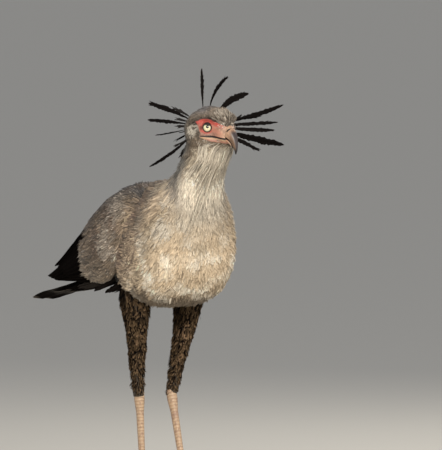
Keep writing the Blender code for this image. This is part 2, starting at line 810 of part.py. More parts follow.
def tail_vane(name, y_root, y_tip, x_root, x_tip, half, lift_root, lift_tip, roll):
    """A feather that lies along the tail and rolls about its own length towards the tip."""
    points = []
    normals = []
    widths = []
    for t in LONG_SECTIONS:
        y = y_root + (y_tip - y_root) * t
        x = x_root + (x_tip - x_root) * t
        points.append(tail_point(y, x, lift_root + (lift_tip - lift_root) * t))
        widths.append(half * blade_profile(t, 0.4, 0.6, 0.35))
        normals.append(Vector((math.sin(roll * t * t), 0.0, math.cos(roll * t * t))))
    return vane(name, points, normals, widths)


def build_tail():
    rings = []
    count = 7
    root_row = TRUNK[0]
    for step in range(count):
        t = step / (count - 1)
        y = TAIL_LINE[0][0] + (TAIL_CORE_END - TAIL_LINE[0][0]) * t
        centre = tail_point(y)
        rise = 0.036 * (1.0 - t) ** 1.3 + 0.005
        drop = 0.034 * (1.0 - t) ** 1.3 + 0.006
        top = centre + Vector((0.0, 0.009 * (1.0 - t), rise))
        bottom = centre - Vector((0.0, 0.011 * (1.0 - t), drop))
        half = root_row[4] - 0.006 * t
        if step == 0:
            top = Vector((0.0, root_row[0] + GAP, root_row[1]))
            bottom = Vector((0.0, root_row[2] + GAP, root_row[3]))
        rings.append(egg_ring(top, bottom, SIDE, half, 0.45, 20))
    tail = loft("tail", rings)
    feathers = []
    for pair, (y_tip, spread, half) in enumerate(TAIL_PAIRS):
        roll = TAIL_ROLL if pair == 0 else 0.0
        for sign in (-1, 1):
            level = TAIL_TOP - TAIL_LAYER * (pair * 2 + (0 if sign < 0 else 1))
            x_root = sign * (0.002 + 0.0022 * pair)
            feathers.append(tail_vane("rectrix", TAIL_FEATHER_ROOT, y_tip, x_root, sign * spread, half,
                                      level * 0.8, level, roll))
    for y_root, y_tip, spread, half, lift in TAIL_COVERTS:
        for face in (-1, 1):
            for sign in ((-1, 1) if spread else (1,)):
                below = -0.016 if face < 0 else 0.0
                feathers.append(tail_vane("tail_covert", y_root, y_tip, sign * spread * 0.6, sign * spread,
                                          half, face * 0.018 + below * 0.2, face * lift + below, 0.0))
    combine(tail, feathers, "UNION")
    paint(tail, (0.03, 0.028, 0.028), 0.6)
    return tail


def centre_on_origin(items):
    """Move the whole so that the middle of its outline lies over the origin."""
    bpy.context.view_layer.update()
    low = [1e9, 1e9]
    high = [-1e9, -1e9]
    for item in items:
        for vertex in item.data.vertices:
            for axis in (0, 1):
                low[axis] = min(low[axis], vertex.co[axis])
                high[axis] = max(high[axis], vertex.co[axis])
    shift = Matrix.Translation((-(low[0] + high[0]) / 2.0, -(low[1] + high[1]) / 2.0, 0.0))
    for item in items:
        item.data.transform(shift)
        item.data.update()


def main():
    for item in list(bpy.data.objects):
        bpy.data.objects.remove(item)
    torso = build_torso()
    neck = build_neck()
    head = build_head()
    items = [torso, neck, head]
    items.append(build_bill("bill_upper", BILL_UPPER, 0.8))
    items.append(build_bill("bill_lower", BILL_LOWER, 0.2))
    tail = build_tail()
    items.append(tail)
    for side_name, sign, ankle in (("right", -1, ANKLE_RIGHT), ("left", 1, ANKLE_LEFT)):
        items.append(build_eye("eye_" + side_name, sign))
        thigh = build_thigh("thigh_" + side_name, sign, torso)
        items.append(thigh)
        items.append(build_shank("shank_" + side_name, sign, ankle))
        items.extend(build_foot(side_name, sign, ankle))
        cutters = [swollen(torso, CUT_MARGIN), swollen(thigh, CUT_MARGIN), swollen(tail, CUT_MARGIN)]
        items.append(build_wing("wing_" + side_name, sign, cutters))
    centre_on_origin(items)


main()
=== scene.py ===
"""The looks of the standing secretary bird: skin, plumage, face, legs, floor and light.

Metres, +Z up, the bird faces -Y and its left is +X. Stations are those of the solids, given in a frame
whose median plane is x = 0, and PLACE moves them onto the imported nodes. On every surface here p is the
place along it, counted in stations, and a is the angle round it; on a wing they are y and share, the part
of the way down from its top edge.
"""
import math
from collections import namedtuple

import bpy
import numpy as np
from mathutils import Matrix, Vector


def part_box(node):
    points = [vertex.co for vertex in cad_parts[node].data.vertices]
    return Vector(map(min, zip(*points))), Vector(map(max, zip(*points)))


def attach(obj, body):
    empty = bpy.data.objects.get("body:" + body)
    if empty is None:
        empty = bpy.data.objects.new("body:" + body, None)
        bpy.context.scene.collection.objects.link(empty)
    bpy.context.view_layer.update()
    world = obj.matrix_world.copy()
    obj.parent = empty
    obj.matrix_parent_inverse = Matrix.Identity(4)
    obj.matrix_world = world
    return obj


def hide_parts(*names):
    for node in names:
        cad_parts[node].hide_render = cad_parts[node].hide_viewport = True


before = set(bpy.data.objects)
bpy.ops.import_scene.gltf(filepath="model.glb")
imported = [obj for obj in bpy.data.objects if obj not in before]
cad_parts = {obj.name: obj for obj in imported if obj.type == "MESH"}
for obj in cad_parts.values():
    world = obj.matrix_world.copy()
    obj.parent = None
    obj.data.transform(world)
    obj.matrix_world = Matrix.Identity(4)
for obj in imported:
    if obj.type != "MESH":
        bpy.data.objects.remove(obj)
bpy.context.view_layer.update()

# Trunk: back point (y, z), belly point (y, z), half width, height share of the widest place, belly fullness
RUMP_END = (0.315, 0.612, 0.305, 0.596, 0.018, 0.45, 0.10)
TRUNK = [
    (0.235, 0.672, 0.215, 0.603, 0.026, 0.45, 0.10),
    (0.170, 0.716, 0.150, 0.580, 0.052, 0.45, 0.15),
    (0.100, 0.754, 0.085, 0.560, 0.076, 0.48, 0.22),
    (0.030, 0.799, 0.015, 0.548, 0.094, 0.50, 0.32),
    (-0.040, 0.818, -0.060, 0.545, 0.103, 0.52, 0.40),
    (-0.095, 0.824, -0.130, 0.562, 0.106, 0.54, 0.40),
    (-0.128, 0.837, -0.186, 0.615, 0.101, 0.56, 0.30),
    (-0.145, 0.849, -0.212, 0.680, 0.082, 0.58, 0.18),
    (-0.153, 0.860, -0.216, 0.742, 0.060, 0.58, 0.10),
    (-0.160, 0.873, -0.227, 0.797, 0.053, 0.55, 0.08),
]
NECK_MIDDLE = (-0.178, 0.892, -0.243, 0.835, 0.049, 0.52, 0.08)

# Head, turned to the bird's left about a vertical axis: back point (forward, z), throat point (forward, z),
# and then as in the trunk
HEAD_AXIS_Y = -0.2532
HEAD_TURN = math.radians(12.0)
HEAD = [
    (-0.054, 0.912, 0.022, 0.868, 0.047, 0.50, 0.08),
    (-0.055, 0.938, 0.036, 0.886, 0.049, 0.46, 0.10),
    (-0.052, 0.963, 0.045, 0.898, 0.0525, 0.40, 0.12),
    (-0.038, 0.983, 0.052, 0.906, 0.0445, 0.36, 0.12),
    (-0.014, 0.9950, 0.057, 0.911, 0.0308, 0.38, 0.12),
    (0.014, 0.9955, 0.060, 0.9135, 0.0266, 0.46, 0.12),
    (0.038, 0.985, 0.0625, 0.9155, 0.0232, 0.52, 0.12),
    (0.056, 0.970, 0.0645, 0.9175, 0.0185, 0.55, 0.12),
    (0.067, 0.957, 0.0665, 0.9195, 0.0140, 0.60, 0.12),
]
FIRST_HEAD_ROW = 1 + len(TRUNK) + 1
LAST_ROW = FIRST_HEAD_ROW + len(HEAD) - 1

# Bill: ridge point (forward, z), cutting edge point (forward, z), half width
BILL_UPPER = [
    (0.067, 0.957, 0.0665, 0.9285, 0.0135),
    (0.0755, 0.949, 0.0715, 0.927, 0.0125),
    (0.0825, 0.9395, 0.0755, 0.9235, 0.0105),
    (0.0875, 0.928, 0.0790, 0.918, 0.0080),
    (0.0903, 0.915, 0.0820, 0.911, 0.0055),
    (0.0903, 0.9035, 0.0845, 0.903, 0.0032),
    (0.0870, 0.8945, 0.0855, 0.8955, 0.0010),
]
BILL_LOWER = [
    (0.0666, 0.9277, 0.0668, 0.9197, 0.0125),
    (0.0712, 0.9262, 0.0722, 0.9165, 0.0115),
    (0.0750, 0.9227, 0.0762, 0.9135, 0.0095),
    (0.0780, 0.9170, 0.0785, 0.9100, 0.0070),
    (0.0795, 0.9120, 0.0792, 0.9075, 0.0040),
]

# Eyes: place in the head's frame (forward, sideways, z), radius, and angle of the gaze from forward
EYE_AT = (0.0190, 0.0242, 0.9513)
EYE_RADIUS = 0.0122
GAZE = math.radians(49.0)
IRIS_RADIUS = 0.0106
PUPIL_RADIUS = 0.0032
# The look of the pupil: angle from forward and angle upward
LOOK = math.radians(44.0)
LOOK_UP = math.radians(10.0)
# The lids' opening: its radius, the upper edge's height over its middle and slant down towards the bill,
# the dark rim's outer radius, and the radius at which the lids end under the skin
OPENING_RADIUS = 0.0080
LID_HEIGHT = 0.0056
LID_SLANT = 0.30
LID_RIM = 0.0103
LID_REACH = 0.0152
CORNEA_BULGE = 0.0006
EYE_SIDES = 64
# Radius of the skin's opening before each eyeball
SKIN_HOLE = 0.0118

# Crest: tip of each feather (forward, sideways, z), half width, bend, roll in degrees
CREST_ROOT = (-0.028, 0.0, 0.952)
CREST_SINK = 0.026
CREST = [
    (-0.020, -0.011, 1.078, 0.0042, 0.000, 0.0),
    (-0.010, 0.054, 1.058, 0.0060, -0.015, 10.0),
    (0.000, 0.103, 1.020, 0.0085, -0.010, -15.0),
    (0.010, 0.192, 0.992, 0.0062, 0.006, 5.0),
    (0.006, 0.134, 0.969, 0.0036, -0.002, 40.0),
    (0.015, 0.173, 0.955, 0.0046, 0.001, 0.0),
    (0.012, 0.166, 0.938, 0.0058, 0.002, -20.0),
    (0.020, 0.186, 0.905, 0.0085, 0.002, 10.0),
    (0.006, 0.129, 0.893, 0.0048, -0.003, 30.0),
    (-0.040, -0.142, 1.006, 0.0062, 0.0035, 0.0),
    (-0.046, -0.140, 0.969, 0.0050, 0.001, 12.0),
    (-0.052, -0.115, 0.934, 0.0028, -0.002, 60.0),
    (-0.088, -0.026, 0.919, 0.0058, -0.004, -10.0),
    (-0.040, -0.140, 0.867, 0.0042, -0.005, 30.0),
    (-0.105, -0.003, 0.879, 0.0035, -0.004, 20.0),
    (-0.110, 0.030, 0.960, 0.0055, -0.006, 0.0),
    (-0.085, 0.070, 0.900, 0.0050, -0.005, 15.0),
]

# Legs: (x, y, z, half width, half depth) down the right thigh; the left one mirrors x
THIGH = [
    (0.060, -0.012, 0.640, 0.026, 0.040),
    (0.064, -0.006, 0.600, 0.031, 0.050),
    (0.065, -0.004, 0.555, 0.030, 0.048),
    (0.058, 0.002, 0.489, 0.0225, 0.034),
    (0.050, 0.018, 0.422, 0.0175, 0.025),
    (0.043, 0.027, 0.367, 0.0145, 0.018),
    (0.0395, 0.030, 0.342, 0.0115, 0.0135),
]
SHANK_TOP = (0.039, 0.030, 0.3415)
ANKLES = {"right": (-0.038, -0.002, 0.026), "left": (0.050, -0.066, 0.026)}
SHANK = [
    (0.00, 0.0105, 0.0125),
    (0.06, 0.0110, 0.0120),
    (0.14, 0.0080, 0.0095),
    (0.50, 0.0062, 0.0075),
    (0.85, 0.0066, 0.0078),
    (1.00, 0.0075, 0.0085),
]
# Toes: name, angle from forward (outward positive), length of the fleshy toe, root half width
TOES = [
    ("inner", -26.0, 0.040, 0.0068),
    ("middle", 2.0, 0.056, 0.0075),
    ("outer", 30.0, 0.042, 0.0068),
    ("hind", 172.0, 0.020, 0.0055),
]
TOE_END_HALF = 0.0045
CLAW_LENGTH = 0.017

# Folded wing's outer surface: y, inner top edge (x, z), lower edge (x, z), widest x
WING = [
    (-0.075, 0.046, 0.788, 0.078, 0.728, 0.084),
    (-0.045, 0.034, 0.803, 0.088, 0.708, 0.096),
    (0.000, 0.018, 0.816, 0.096, 0.645, 0.110),
    (0.050, 0.013, 0.805, 0.090, 0.606, 0.115),
    (0.100, 0.012, 0.788, 0.082, 0.592, 0.112),
    (0.150, 0.012, 0.766, 0.072, 0.586, 0.104),
    (0.200, 0.012, 0.741, 0.062, 0.584, 0.092),
    (0.260, 0.013, 0.708, 0.052, 0.581, 0.077),
    (0.330, 0.015, 0.671, 0.044, 0.577, 0.060),
    (0.430, 0.017, 0.615, 0.034, 0.570, 0.045),
    (0.530, 0.016, 0.580, 0.024, 0.560, 0.030),
]
WING_LINER = (-0.070, 0.300)

# Tail: the line along the middle feathers (y, z), then each pair's tip y, spread and half width
TAIL_LINE = [
    (0.226, 0.637),
    (0.260, 0.616),
    (0.330, 0.585),
    (0.430, 0.557),
    (0.540, 0.533),
    (0.628, 0.515),
]
TAIL_PAIRS = [
    (0.628, 0.014, 0.0180),
    (0.520, 0.013, 0.0165),
    (0.500, 0.018, 0.0155),
    (0.478, 0.022, 0.0145),
    (0.452, 0.026, 0.0135),
    (0.425, 0.029, 0.0125),
]

# Plumage and skin colours, linear
CREAM = (0.53, 0.420, 0.292)
PALE = (0.67, 0.590, 0.475)
BUFF = (0.44, 0.335, 0.225)
HOLLOW_SHADE = (0.30, 0.235, 0.155)
NECK_GREY = (0.60, 0.525, 0.420)
NAPE_SLATE = (0.155, 0.145, 0.130)
NAPE_LOW = (0.265, 0.230, 0.190)
BACK_BROWN = (0.165, 0.117, 0.087)
WING_GREY = (0.205, 0.155, 0.110)
TAN = (0.40, 0.29, 0.19)
SLATE = (0.095, 0.090, 0.088)
FRINGE_TAN = (0.50, 0.385, 0.265)
UMBER = (0.125, 0.082, 0.045)
BLACK = (0.0055, 0.0045, 0.0042)
FACE_RED = (0.40, 0.050, 0.040)
CERE = (0.38, 0.235, 0.150)
LEG_PINK = (0.40, 0.255, 0.155)
LEG_PALE = (0.51, 0.39, 0.255)
FLANK_TAN = (0.40, 0.305, 0.215)
APRON_PALE = (0.46, 0.385, 0.29)
APRON_DEEP = (0.40, 0.315, 0.215)
BELLY_DARK_AND_SHADE = (0.075, 0.055, 0.040)
HEAD_DARK = (0.070, 0.055, 0.041)
HEAD_BROWN = (0.165, 0.131, 0.100)
CROWN_BROWN = (0.235, 0.185, 0.142)
CROWN_DARK = (0.085, 0.078, 0.075)
CROWN_GREY = (0.135, 0.130, 0.135)
FOREHEAD_BUFF = (0.45, 0.395, 0.325)
EAR_PALE = (0.50, 0.455, 0.380)
JAW_BROWN = (0.150, 0.110, 0.072)
CHIN_TAN = (0.40, 0.34, 0.255)
STREAK_BROWN = (0.085, 0.062, 0.047)
BROW_SHADOW = (0.030, 0.020, 0.016)
BRISTLE_PALE = (0.60, 0.52, 0.43)
THIGH_WARM = (0.20, 0.125, 0.075)
COVERT_PALE = (0.40, 0.345, 0.285)
COVERT_TAN = (0.40, 0.335, 0.255)
FLIGHT_EDGE = (0.015, 0.012, 0.010)
TAIL_GREY = (0.055, 0.050, 0.046)
TAIL_TIP = (0.16, 0.14, 0.12)
RUMP_PALE = (0.42, 0.37, 0.30)
UNDER_TAIL = (0.035, 0.030, 0.027)
CREST_SMALL = (0.020, 0.018, 0.017)
CREST_FOOT = (0.16, 0.14, 0.125)

# Face and bill colours
FACE_PINK = (0.36, 0.150, 0.103)
CHEEK_BROWN = (0.27, 0.165, 0.120)
FACE_BLOTCH = (0.17, 0.090, 0.065)
EYE_CORNER = (0.075, 0.025, 0.018)
JAW_PINK = (0.43, 0.270, 0.160)
JAW_RED = (0.30, 0.140, 0.095)
MOUTH_SHADE = (0.006, 0.003, 0.003)
BILL_BROWN = (0.25, 0.150, 0.098)
BILL_DARK = (0.115, 0.068, 0.042)
RIDGE_GREY = (0.045, 0.034, 0.034)
RIDGE_HIGHLIGHT = (0.25, 0.160, 0.105)
BILL_TIP = (0.014, 0.012, 0.012)
NOSTRIL_BLACK = (0.008, 0.006, 0.006)
BILL_GAP_SHADE = (0.006, 0.004, 0.004)
LOWER_PINK = (0.46, 0.235, 0.145)
LOWER_BROWN = (0.32, 0.20, 0.135)
LOWER_TIP = (0.03, 0.026, 0.024)
IRIS_PALE = (0.74, 0.70, 0.47)
IRIS_STREAK = (0.60, 0.54, 0.33)
IRIS_RIM = (0.46, 0.38, 0.20)
PUPIL_BLACK = (0.004, 0.004, 0.004)
LID_SHADOW = (0.22, 0.25, 0.24)
EYE_RIM = (0.012, 0.008, 0.007)
LID_FEATHERS = (0.050, 0.036, 0.028)
LID_BLACK = (0.007, 0.004, 0.004)
LASH_BLACK = (0.012, 0.009, 0.008)

# Leg colours
SCUTE_EDGE = (0.17, 0.095, 0.07)
LEG_BACK = (0.30, 0.17, 0.11)
LEG_SHADE = (0.28, 0.16, 0.12)
LEG_BLOT = (0.22, 0.13, 0.095)
TOE_EDGE = (0.15, 0.07, 0.045)
SOLE_BROWN = (0.24, 0.17, 0.12)
CLAW_ROOT = (0.05, 0.04, 0.035)
CLAW_TIP = (0.015, 0.013, 0.012)

SIGNS = {"right": -1.0, "left": 1.0}
SIDE = np.array([1.0, 0.0, 0.0])
UP = np.array([0.0, 0.0, 1.0])


def head_vector(forward, sideways, rise):
    """A direction given in the turned head's frame; sideways is to the bird's left."""
    forward, sideways, rise = np.broadcast_arrays(forward, sideways, rise)
    x = math.sin(HEAD_TURN) * forward + math.cos(HEAD_TURN) * sideways
    y = -math.cos(HEAD_TURN) * forward + math.sin(HEAD_TURN) * sideways
    return np.stack([x, y, np.asarray(rise, float)], axis=-1)


def head_place(forward, sideways, z):
    """A place given in the turned head's frame."""
    return head_vector(forward, sideways, z) + np.array([0.0, HEAD_AXIS_Y, 0.0])


def box_centre(node):
    """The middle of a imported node's box."""
    low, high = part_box(node)
    return np.array((low + high) / 2.0)


PLACE = box_centre("eye_right") - head_place(EYE_AT[0], -EYE_AT[1], EYE_AT[2])
PLACE[2] = 0.0


def in_head(points):
    """Points read in the turned head's frame: forward, sideways, z."""
    flat = points - PLACE - np.array([0.0, HEAD_AXIS_Y, 0.0])
    forward = math.sin(HEAD_TURN) * flat[..., 0] - math.cos(HEAD_TURN) * flat[..., 1]
    sideways = math.cos(HEAD_TURN) * flat[..., 0] + math.sin(HEAD_TURN) * flat[..., 1]
    return forward, sideways, flat[..., 2]


def smooth(low, high, value):
    """A soft step from 0 at low to 1 at high."""
    t = np.clip((value - low) / (high - low), 0.0, 1.0)
    return t * t * (3.0 - 2.0 * t)


def mix(first, second, share):
    """First where share is 0 and second where it is 1."""
    share = np.asarray(share)[..., None]
    return np.asarray(first) * (1.0 - share) + np.asarray(second) * share


def painted(base, layers):
    """Colours with further colours laid over them, each by its own share."""
    for colour, share in layers:
        base = mix(base, colour, share)
    return base


def unit(vectors):
    """Vectors made one unit long."""
    return vectors / np.maximum(np.linalg.norm(vectors, axis=-1, keepdims=True), 1e-12)


def spline(rows, place):
    """Rows read between the given ones by a smooth curve; place 0 is the first row."""
    place = np.clip(place, 0.0, len(rows) - 1.000001)
    index = place.astype(int)
    t = (place - index)[..., None]
    before = rows[np.maximum(index - 1, 0)]
    start = rows[index]
    end = rows[index + 1]
    after = rows[np.minimum(index + 2, len(rows) - 1)]
    slope1 = (end - before) / 2.0
    slope2 = (after - start) / 2.0
    t2 = t * t
    t3 = t2 * t
    return ((2 * t3 - 3 * t2 + 1) * start + (t3 - 2 * t2 + t) * slope1
            + (3 * t2 - 2 * t3) * end + (t3 - t2) * slope2)


def body_rows():
    """Top point, bottom point, side direction, half width, wide share and fullness of every station."""
    rows = []
    for y1, z1, y2, z2, half, wide, full in [RUMP_END] + TRUNK + [NECK_MIDDLE]:
        rows.append((0.0, y1, z1, 0.0, y2, z2, 1.0, 0.0, 0.0, half, wide, full))
    side = head_vector(0.0, 1.0, 0.0)
    for f1, z1, f2, z2, half, wide, full in HEAD:
        rows.append((*head_place(f1, 0.0, z1), *head_place(f2, 0.0, z2), *side, half, wide, full))
    return np.array(rows)


BODY_ROWS = body_rows()


def egg(row, angle):
    """A point of an egg section; angle 0 is its top, a quarter turn its left and a half turn its bottom."""
    top = row[..., 0:3]
    bottom = row[..., 3:6]
    cosine = np.cos(angle)[..., None]
    sine = np.sin(angle)[..., None]
    full = row[..., 11:12]
    power = 1.0 - np.where(cosine < 0, full, np.minimum(full, 0.12))
    height = np.sign(cosine) * np.abs(cosine) ** power
    across = np.sign(sine) * np.abs(sine) ** power
    middle = top + (bottom - top) * row[..., 10:11]
    reach = np.where(cosine > 0, top - middle, middle - bottom)
    return middle + reach * height + row[..., 6:9] * (row[..., 9:10] * across)


def body(place, angle):
    """The outer surface of the coat over the trunk, neck and head."""
    return egg(spline(BODY_ROWS, place), angle) + PLACE


THIGH_ROWS = np.array(THIGH)


def thigh_surface(sign):
    """The thigh's outer surface; place runs from the top row to the heel, angle 0 is the bird's left."""
    def surface(place, angle):
        row = spline(THIGH_ROWS, place)
        x = sign * row[..., 0] + row[..., 3] * np.cos(angle)
        y = row[..., 1] + row[..., 4] * np.sin(angle)
        return np.stack([x, y, row[..., 2]], axis=-1) + PLACE
    return surface


WING_ROWS = np.array(WING)


def row_place(stations, value):
    """Where a value lies among the stations, counted in stations."""
    index = np.clip(np.searchsorted(stations, value, side="right") - 1, 0, len(stations) - 2)
    span = stations[index + 1] - stations[index]
    return index + np.clip((value - stations[index]) / span, 0.0, 1.0)


def wing_surface(sign):
    """The folded wing's outer surface at y and share: share 0 is the top edge and 1 the lower edge."""
    def surface(y, share, depth=0.0):
        row = spline(WING_ROWS, row_place(WING_ROWS[:, 0], y))
        angle = math.pi * np.clip(share, 0.001, 0.999)
        swell = np.sin(angle) ** 0.72
        edge_x = np.where(share < 0.5, row[..., 1], row[..., 3])
        x = edge_x + (row[..., 5] - edge_x) * swell - depth * swell
        cosine = np.cos(angle)
        height = np.sign(cosine) * np.abs(cosine) ** 0.8
        half = (row[..., 2] - row[..., 4]) / 2.0
        z = (row[..., 2] + row[..., 4]) / 2.0 + half * height - depth * height
        beyond = np.maximum(y - WING_ROWS[-1, 0], 0.0)
        return np.stack([sign * x, np.broadcast_to(y, x.shape), z - 0.3 * beyond], axis=-1) + PLACE
    return surface


def normals_of(surface, p, a, step_p, step_a, away):
    """Unit normals of a surface, turned to the same side as away says, and its two slopes."""
    along = (surface(p + step_p, a) - surface(p - step_p, a)) / (2.0 * step_p)
    round_it = (surface(p, a + step_a) - surface(p, a - step_a)) / (2.0 * step_a)
    normal = unit(np.cross(along, round_it))
    flip = np.sign(np.sum(normal * away, axis=-1, keepdims=True))
    return normal * np.where(flip == 0, 1.0, flip), along, round_it


def body_away(p, a):
    """A rough outward direction of the body at p, a."""
    row = spline(BODY_ROWS, p)
    middle = row[..., 0:3] + (row[..., 3:6] - row[..., 0:3]) * row[..., 10:11]
    return body(p, a) - PLACE - middle


def thigh_away(p, a):
    """A rough outward direction of a thigh."""
    return np.stack([np.cos(a), np.sin(a), np.zeros_like(a)], axis=-1)


def wing_away(sign):
    """Gives a rough outward direction of a wing."""
    def away(y, share):
        angle = math.pi * share
        return np.stack([sign * (np.sin(angle) + 0.05), np.zeros_like(angle), np.cos(angle)], axis=-1)
    return away


def make_mesh(name, points, faces, colours=None, uvs=None):
    """A mesh object from arrays of points, triangles or quads, point colours and corner UVs."""
    mesh = bpy.data.meshes.new(name)
    count, corners = faces.shape
    mesh.vertices.add(len(points))
    mesh.vertices.foreach_set("co", np.ascontiguousarray(points, np.float32).ravel())
    mesh.loops.add(count * corners)
    mesh.loops.foreach_set("vertex_index", np.ascontiguousarray(faces, np.int32).ravel())
    mesh.polygons.add(count)
    mesh.polygons.foreach_set("loop_start", np.arange(0, count * corners, corners, dtype=np.int32))
    mesh.update(calc_edges=True)
    mesh.shade_smooth()
    if colours is not None:
        layer = mesh.color_attributes.new("Markings", "FLOAT_COLOR", "POINT")
        packed = np.ones((len(points), 4), np.float32)
        packed[:, :3] = np.clip(colours, 0.0, 1.0)
        layer.data.foreach_set("color", packed.ravel())
    if uvs is not None:
        layer = mesh.uv_layers.new(name="OFBake")
        layer.data.foreach_set("uv", np.ascontiguousarray(uvs[faces.ravel()], np.float32).ravel())
    item = bpy.data.objects.new(name, mesh)
    bpy.context.scene.collection.objects.link(item)
    return item


def joined(parts):
    """Point, face, colour and UV arrays put together into one set."""
    starts = np.cumsum([0] + [len(points) for points, _, _, _ in parts])
    shifted = [(points, faces + start, colours, uvs)
               for (points, faces, colours, uvs), start in zip(parts, starts)]
    return [np.concatenate(group) for group in zip(*shifted)]


def ring_grid(places, sides):
    """Two grids: each place, and each of the angles round it."""
    return np.meshgrid(places, np.linspace(0.0, math.tau, sides, endpoint=False), indexing="ij")


def grid_faces(rows, columns):
    """Quads over a grid of points whose last column joins its first one."""
    i = np.arange(rows - 1)[:, None]
    j = np.arange(columns)[None, :]
    after = (j + 1) % columns
    quads = [i * columns + j, i * columns + after, (i + 1) * columns + after, (i + 1) * columns + j]
    return np.stack(np.broadcast_arrays(*quads), axis=-1).reshape(-1, 4)


# Materials
def material(name, roughness, bump, bump_scale, variation, sheen=0.0, coat=0.0, specular=0.5):
    """A Principled surface that takes its markings from the mesh, with fine mottling and grain."""
    made = bpy.data.materials.new(name)
    made.use_nodes = True
    nodes = made.node_tree.nodes
    links = made.node_tree.links
    shader = nodes["Principled BSDF"]
    shader.inputs["Roughness"].default_value = roughness
    shader.inputs["Sheen Weight"].default_value = sheen
    shader.inputs["Specular IOR Level"].default_value = specular
    shader.inputs["Coat Weight"].default_value = coat
    shader.inputs["Coat Roughness"].default_value = 0.05
    marks = nodes.new("ShaderNodeVertexColor")
    marks.layer_name = "Markings"
    place = nodes.new("ShaderNodeTexCoord")
    mottle = nodes.new("ShaderNodeTexNoise")
    mottle.inputs["Scale"].default_value = bump_scale * 0.35
    mottle.inputs["Detail"].default_value = 4.0
    links.new(place.outputs["Object"], mottle.inputs["Vector"])
    spread = nodes.new("ShaderNodeMapRange")
    spread.inputs["From Min"].default_value = 0.3
    spread.inputs["From Max"].default_value = 0.7
    spread.inputs["To Min"].default_value = 1.0 - variation
    spread.inputs["To Max"].default_value = 1.0 + variation
    links.new(mottle.outputs["Fac"], spread.inputs["Value"])
    tint = nodes.new("ShaderNodeVectorMath")
    tint.operation = "SCALE"
    links.new(marks.outputs["Color"], tint.inputs[0])
    links.new(spread.outputs["Result"], tint.inputs["Scale"])
    links.new(tint.outputs["Vector"], shader.inputs["Base Color"])
    if bump:
        grain = nodes.new("ShaderNodeTexNoise")
        grain.inputs["Scale"].default_value = bump_scale
        grain.inputs["Detail"].default_value = 3.0
        links.new(place.outputs["Object"], grain.inputs["Vector"])
        raised = nodes.new("ShaderNodeBump")
        raised.inputs["Strength"].default_value = bump
        raised.inputs["Distance"].default_value = 0.0006
        links.new(grain.outputs["Fac"], raised.inputs["Height"])
        links.new(raised.outputs["Normal"], shader.inputs["Normal"])
    return made


def dress(item, made, replaced=()):
    """Give a piece its material and its body, and hide the nodes that it stands for."""
    item.data.materials.append(made)
    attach(item, "root")
    if replaced:
        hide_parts(*replaced)
    return item


SKIN_MATERIAL = material("bird_skin", 0.5, bump=0.6, bump_scale=900.0, variation=0.14)
COAT_MATERIAL = material("contour_feathers", 0.8, bump=0.25, bump_scale=1200.0, variation=0.12,
                         sheen=0.05, specular=0.2)
VANE_MATERIAL = material("vane_feathers", 0.65, bump=0.3, bump_scale=900.0, variation=0.16, specular=0.25)
BLACK_MATERIAL = material("black_feathers", 0.90, bump=0.3, bump_scale=900.0, variation=0.30, specular=0.0)
HORN_MATERIAL = material("bill_horn", 0.42, bump=0.25, bump_scale=700.0, variation=0.14, specular=0.4)
LEG_MATERIAL = material("leg_scales", 0.5, bump=0.6, bump_scale=700.0, variation=0.14)
CLAW_MATERIAL = material("claw_horn", 0.3, bump=0.2, bump_scale=500.0, variation=0.2)
EYE_MATERIAL = material("eyeball", 0.10, bump=0.0, bump_scale=500.0, variation=0.05, coat=0.25,
                        specular=0.35)


def add_piece(name, arrays, made, replaced=()):
    """One piece of the bird from its points, faces, colours and UVs."""
    return dress(make_mesh(name, *arrays), made, replaced)


# Markings
WAVES = 7


def patches(points, scale, seed):
    """Soft mottling between -1 and 1 from a few crossed waves, the same in every run."""
    draw = np.random.default_rng(seed)
    total = np.zeros(points.shape[:-1])
    for _ in range(WAVES):
        heading = unit(draw.normal(size=3))
        reach = scale * draw.uniform(0.6, 1.7)
        phase = draw.uniform(0.0, math.tau)
        bend = np.sin(points @ unit(draw.normal(size=3)) * (math.tau / (reach * 1.9)) + phase)
        total += np.sin(points @ heading * (math.tau / reach) + phase + 1.3 * bend)
    return np.clip(total / 3.6, -1.0, 1.0)


# The border between cream breast and brown flank: how far back it runs at each height
BROWN_HEIGHTS = (0.550, 0.570, 0.620, 0.700, 0.800, 0.860)
BROWN_LIMITS = (0.046, 0.020, -0.058, -0.108, -0.148, -0.174)
# How light the front of the neck is at each height: painted shade under the chin, painted light on the
# middle of the neck, darker low down
NECK_HEIGHTS = (0.750, 0.795, 0.825, 0.860, 0.885)
NECK_LIGHT_AND_SHADE = (0.60, 0.64, 1.06, 1.22, 0.62)
UPPER_BACK_SHADE = 0.72
UPPER_BREAST_SHADE = 0.66
STREAK_STRETCH = np.array((1.0, 1.0, 2.2))


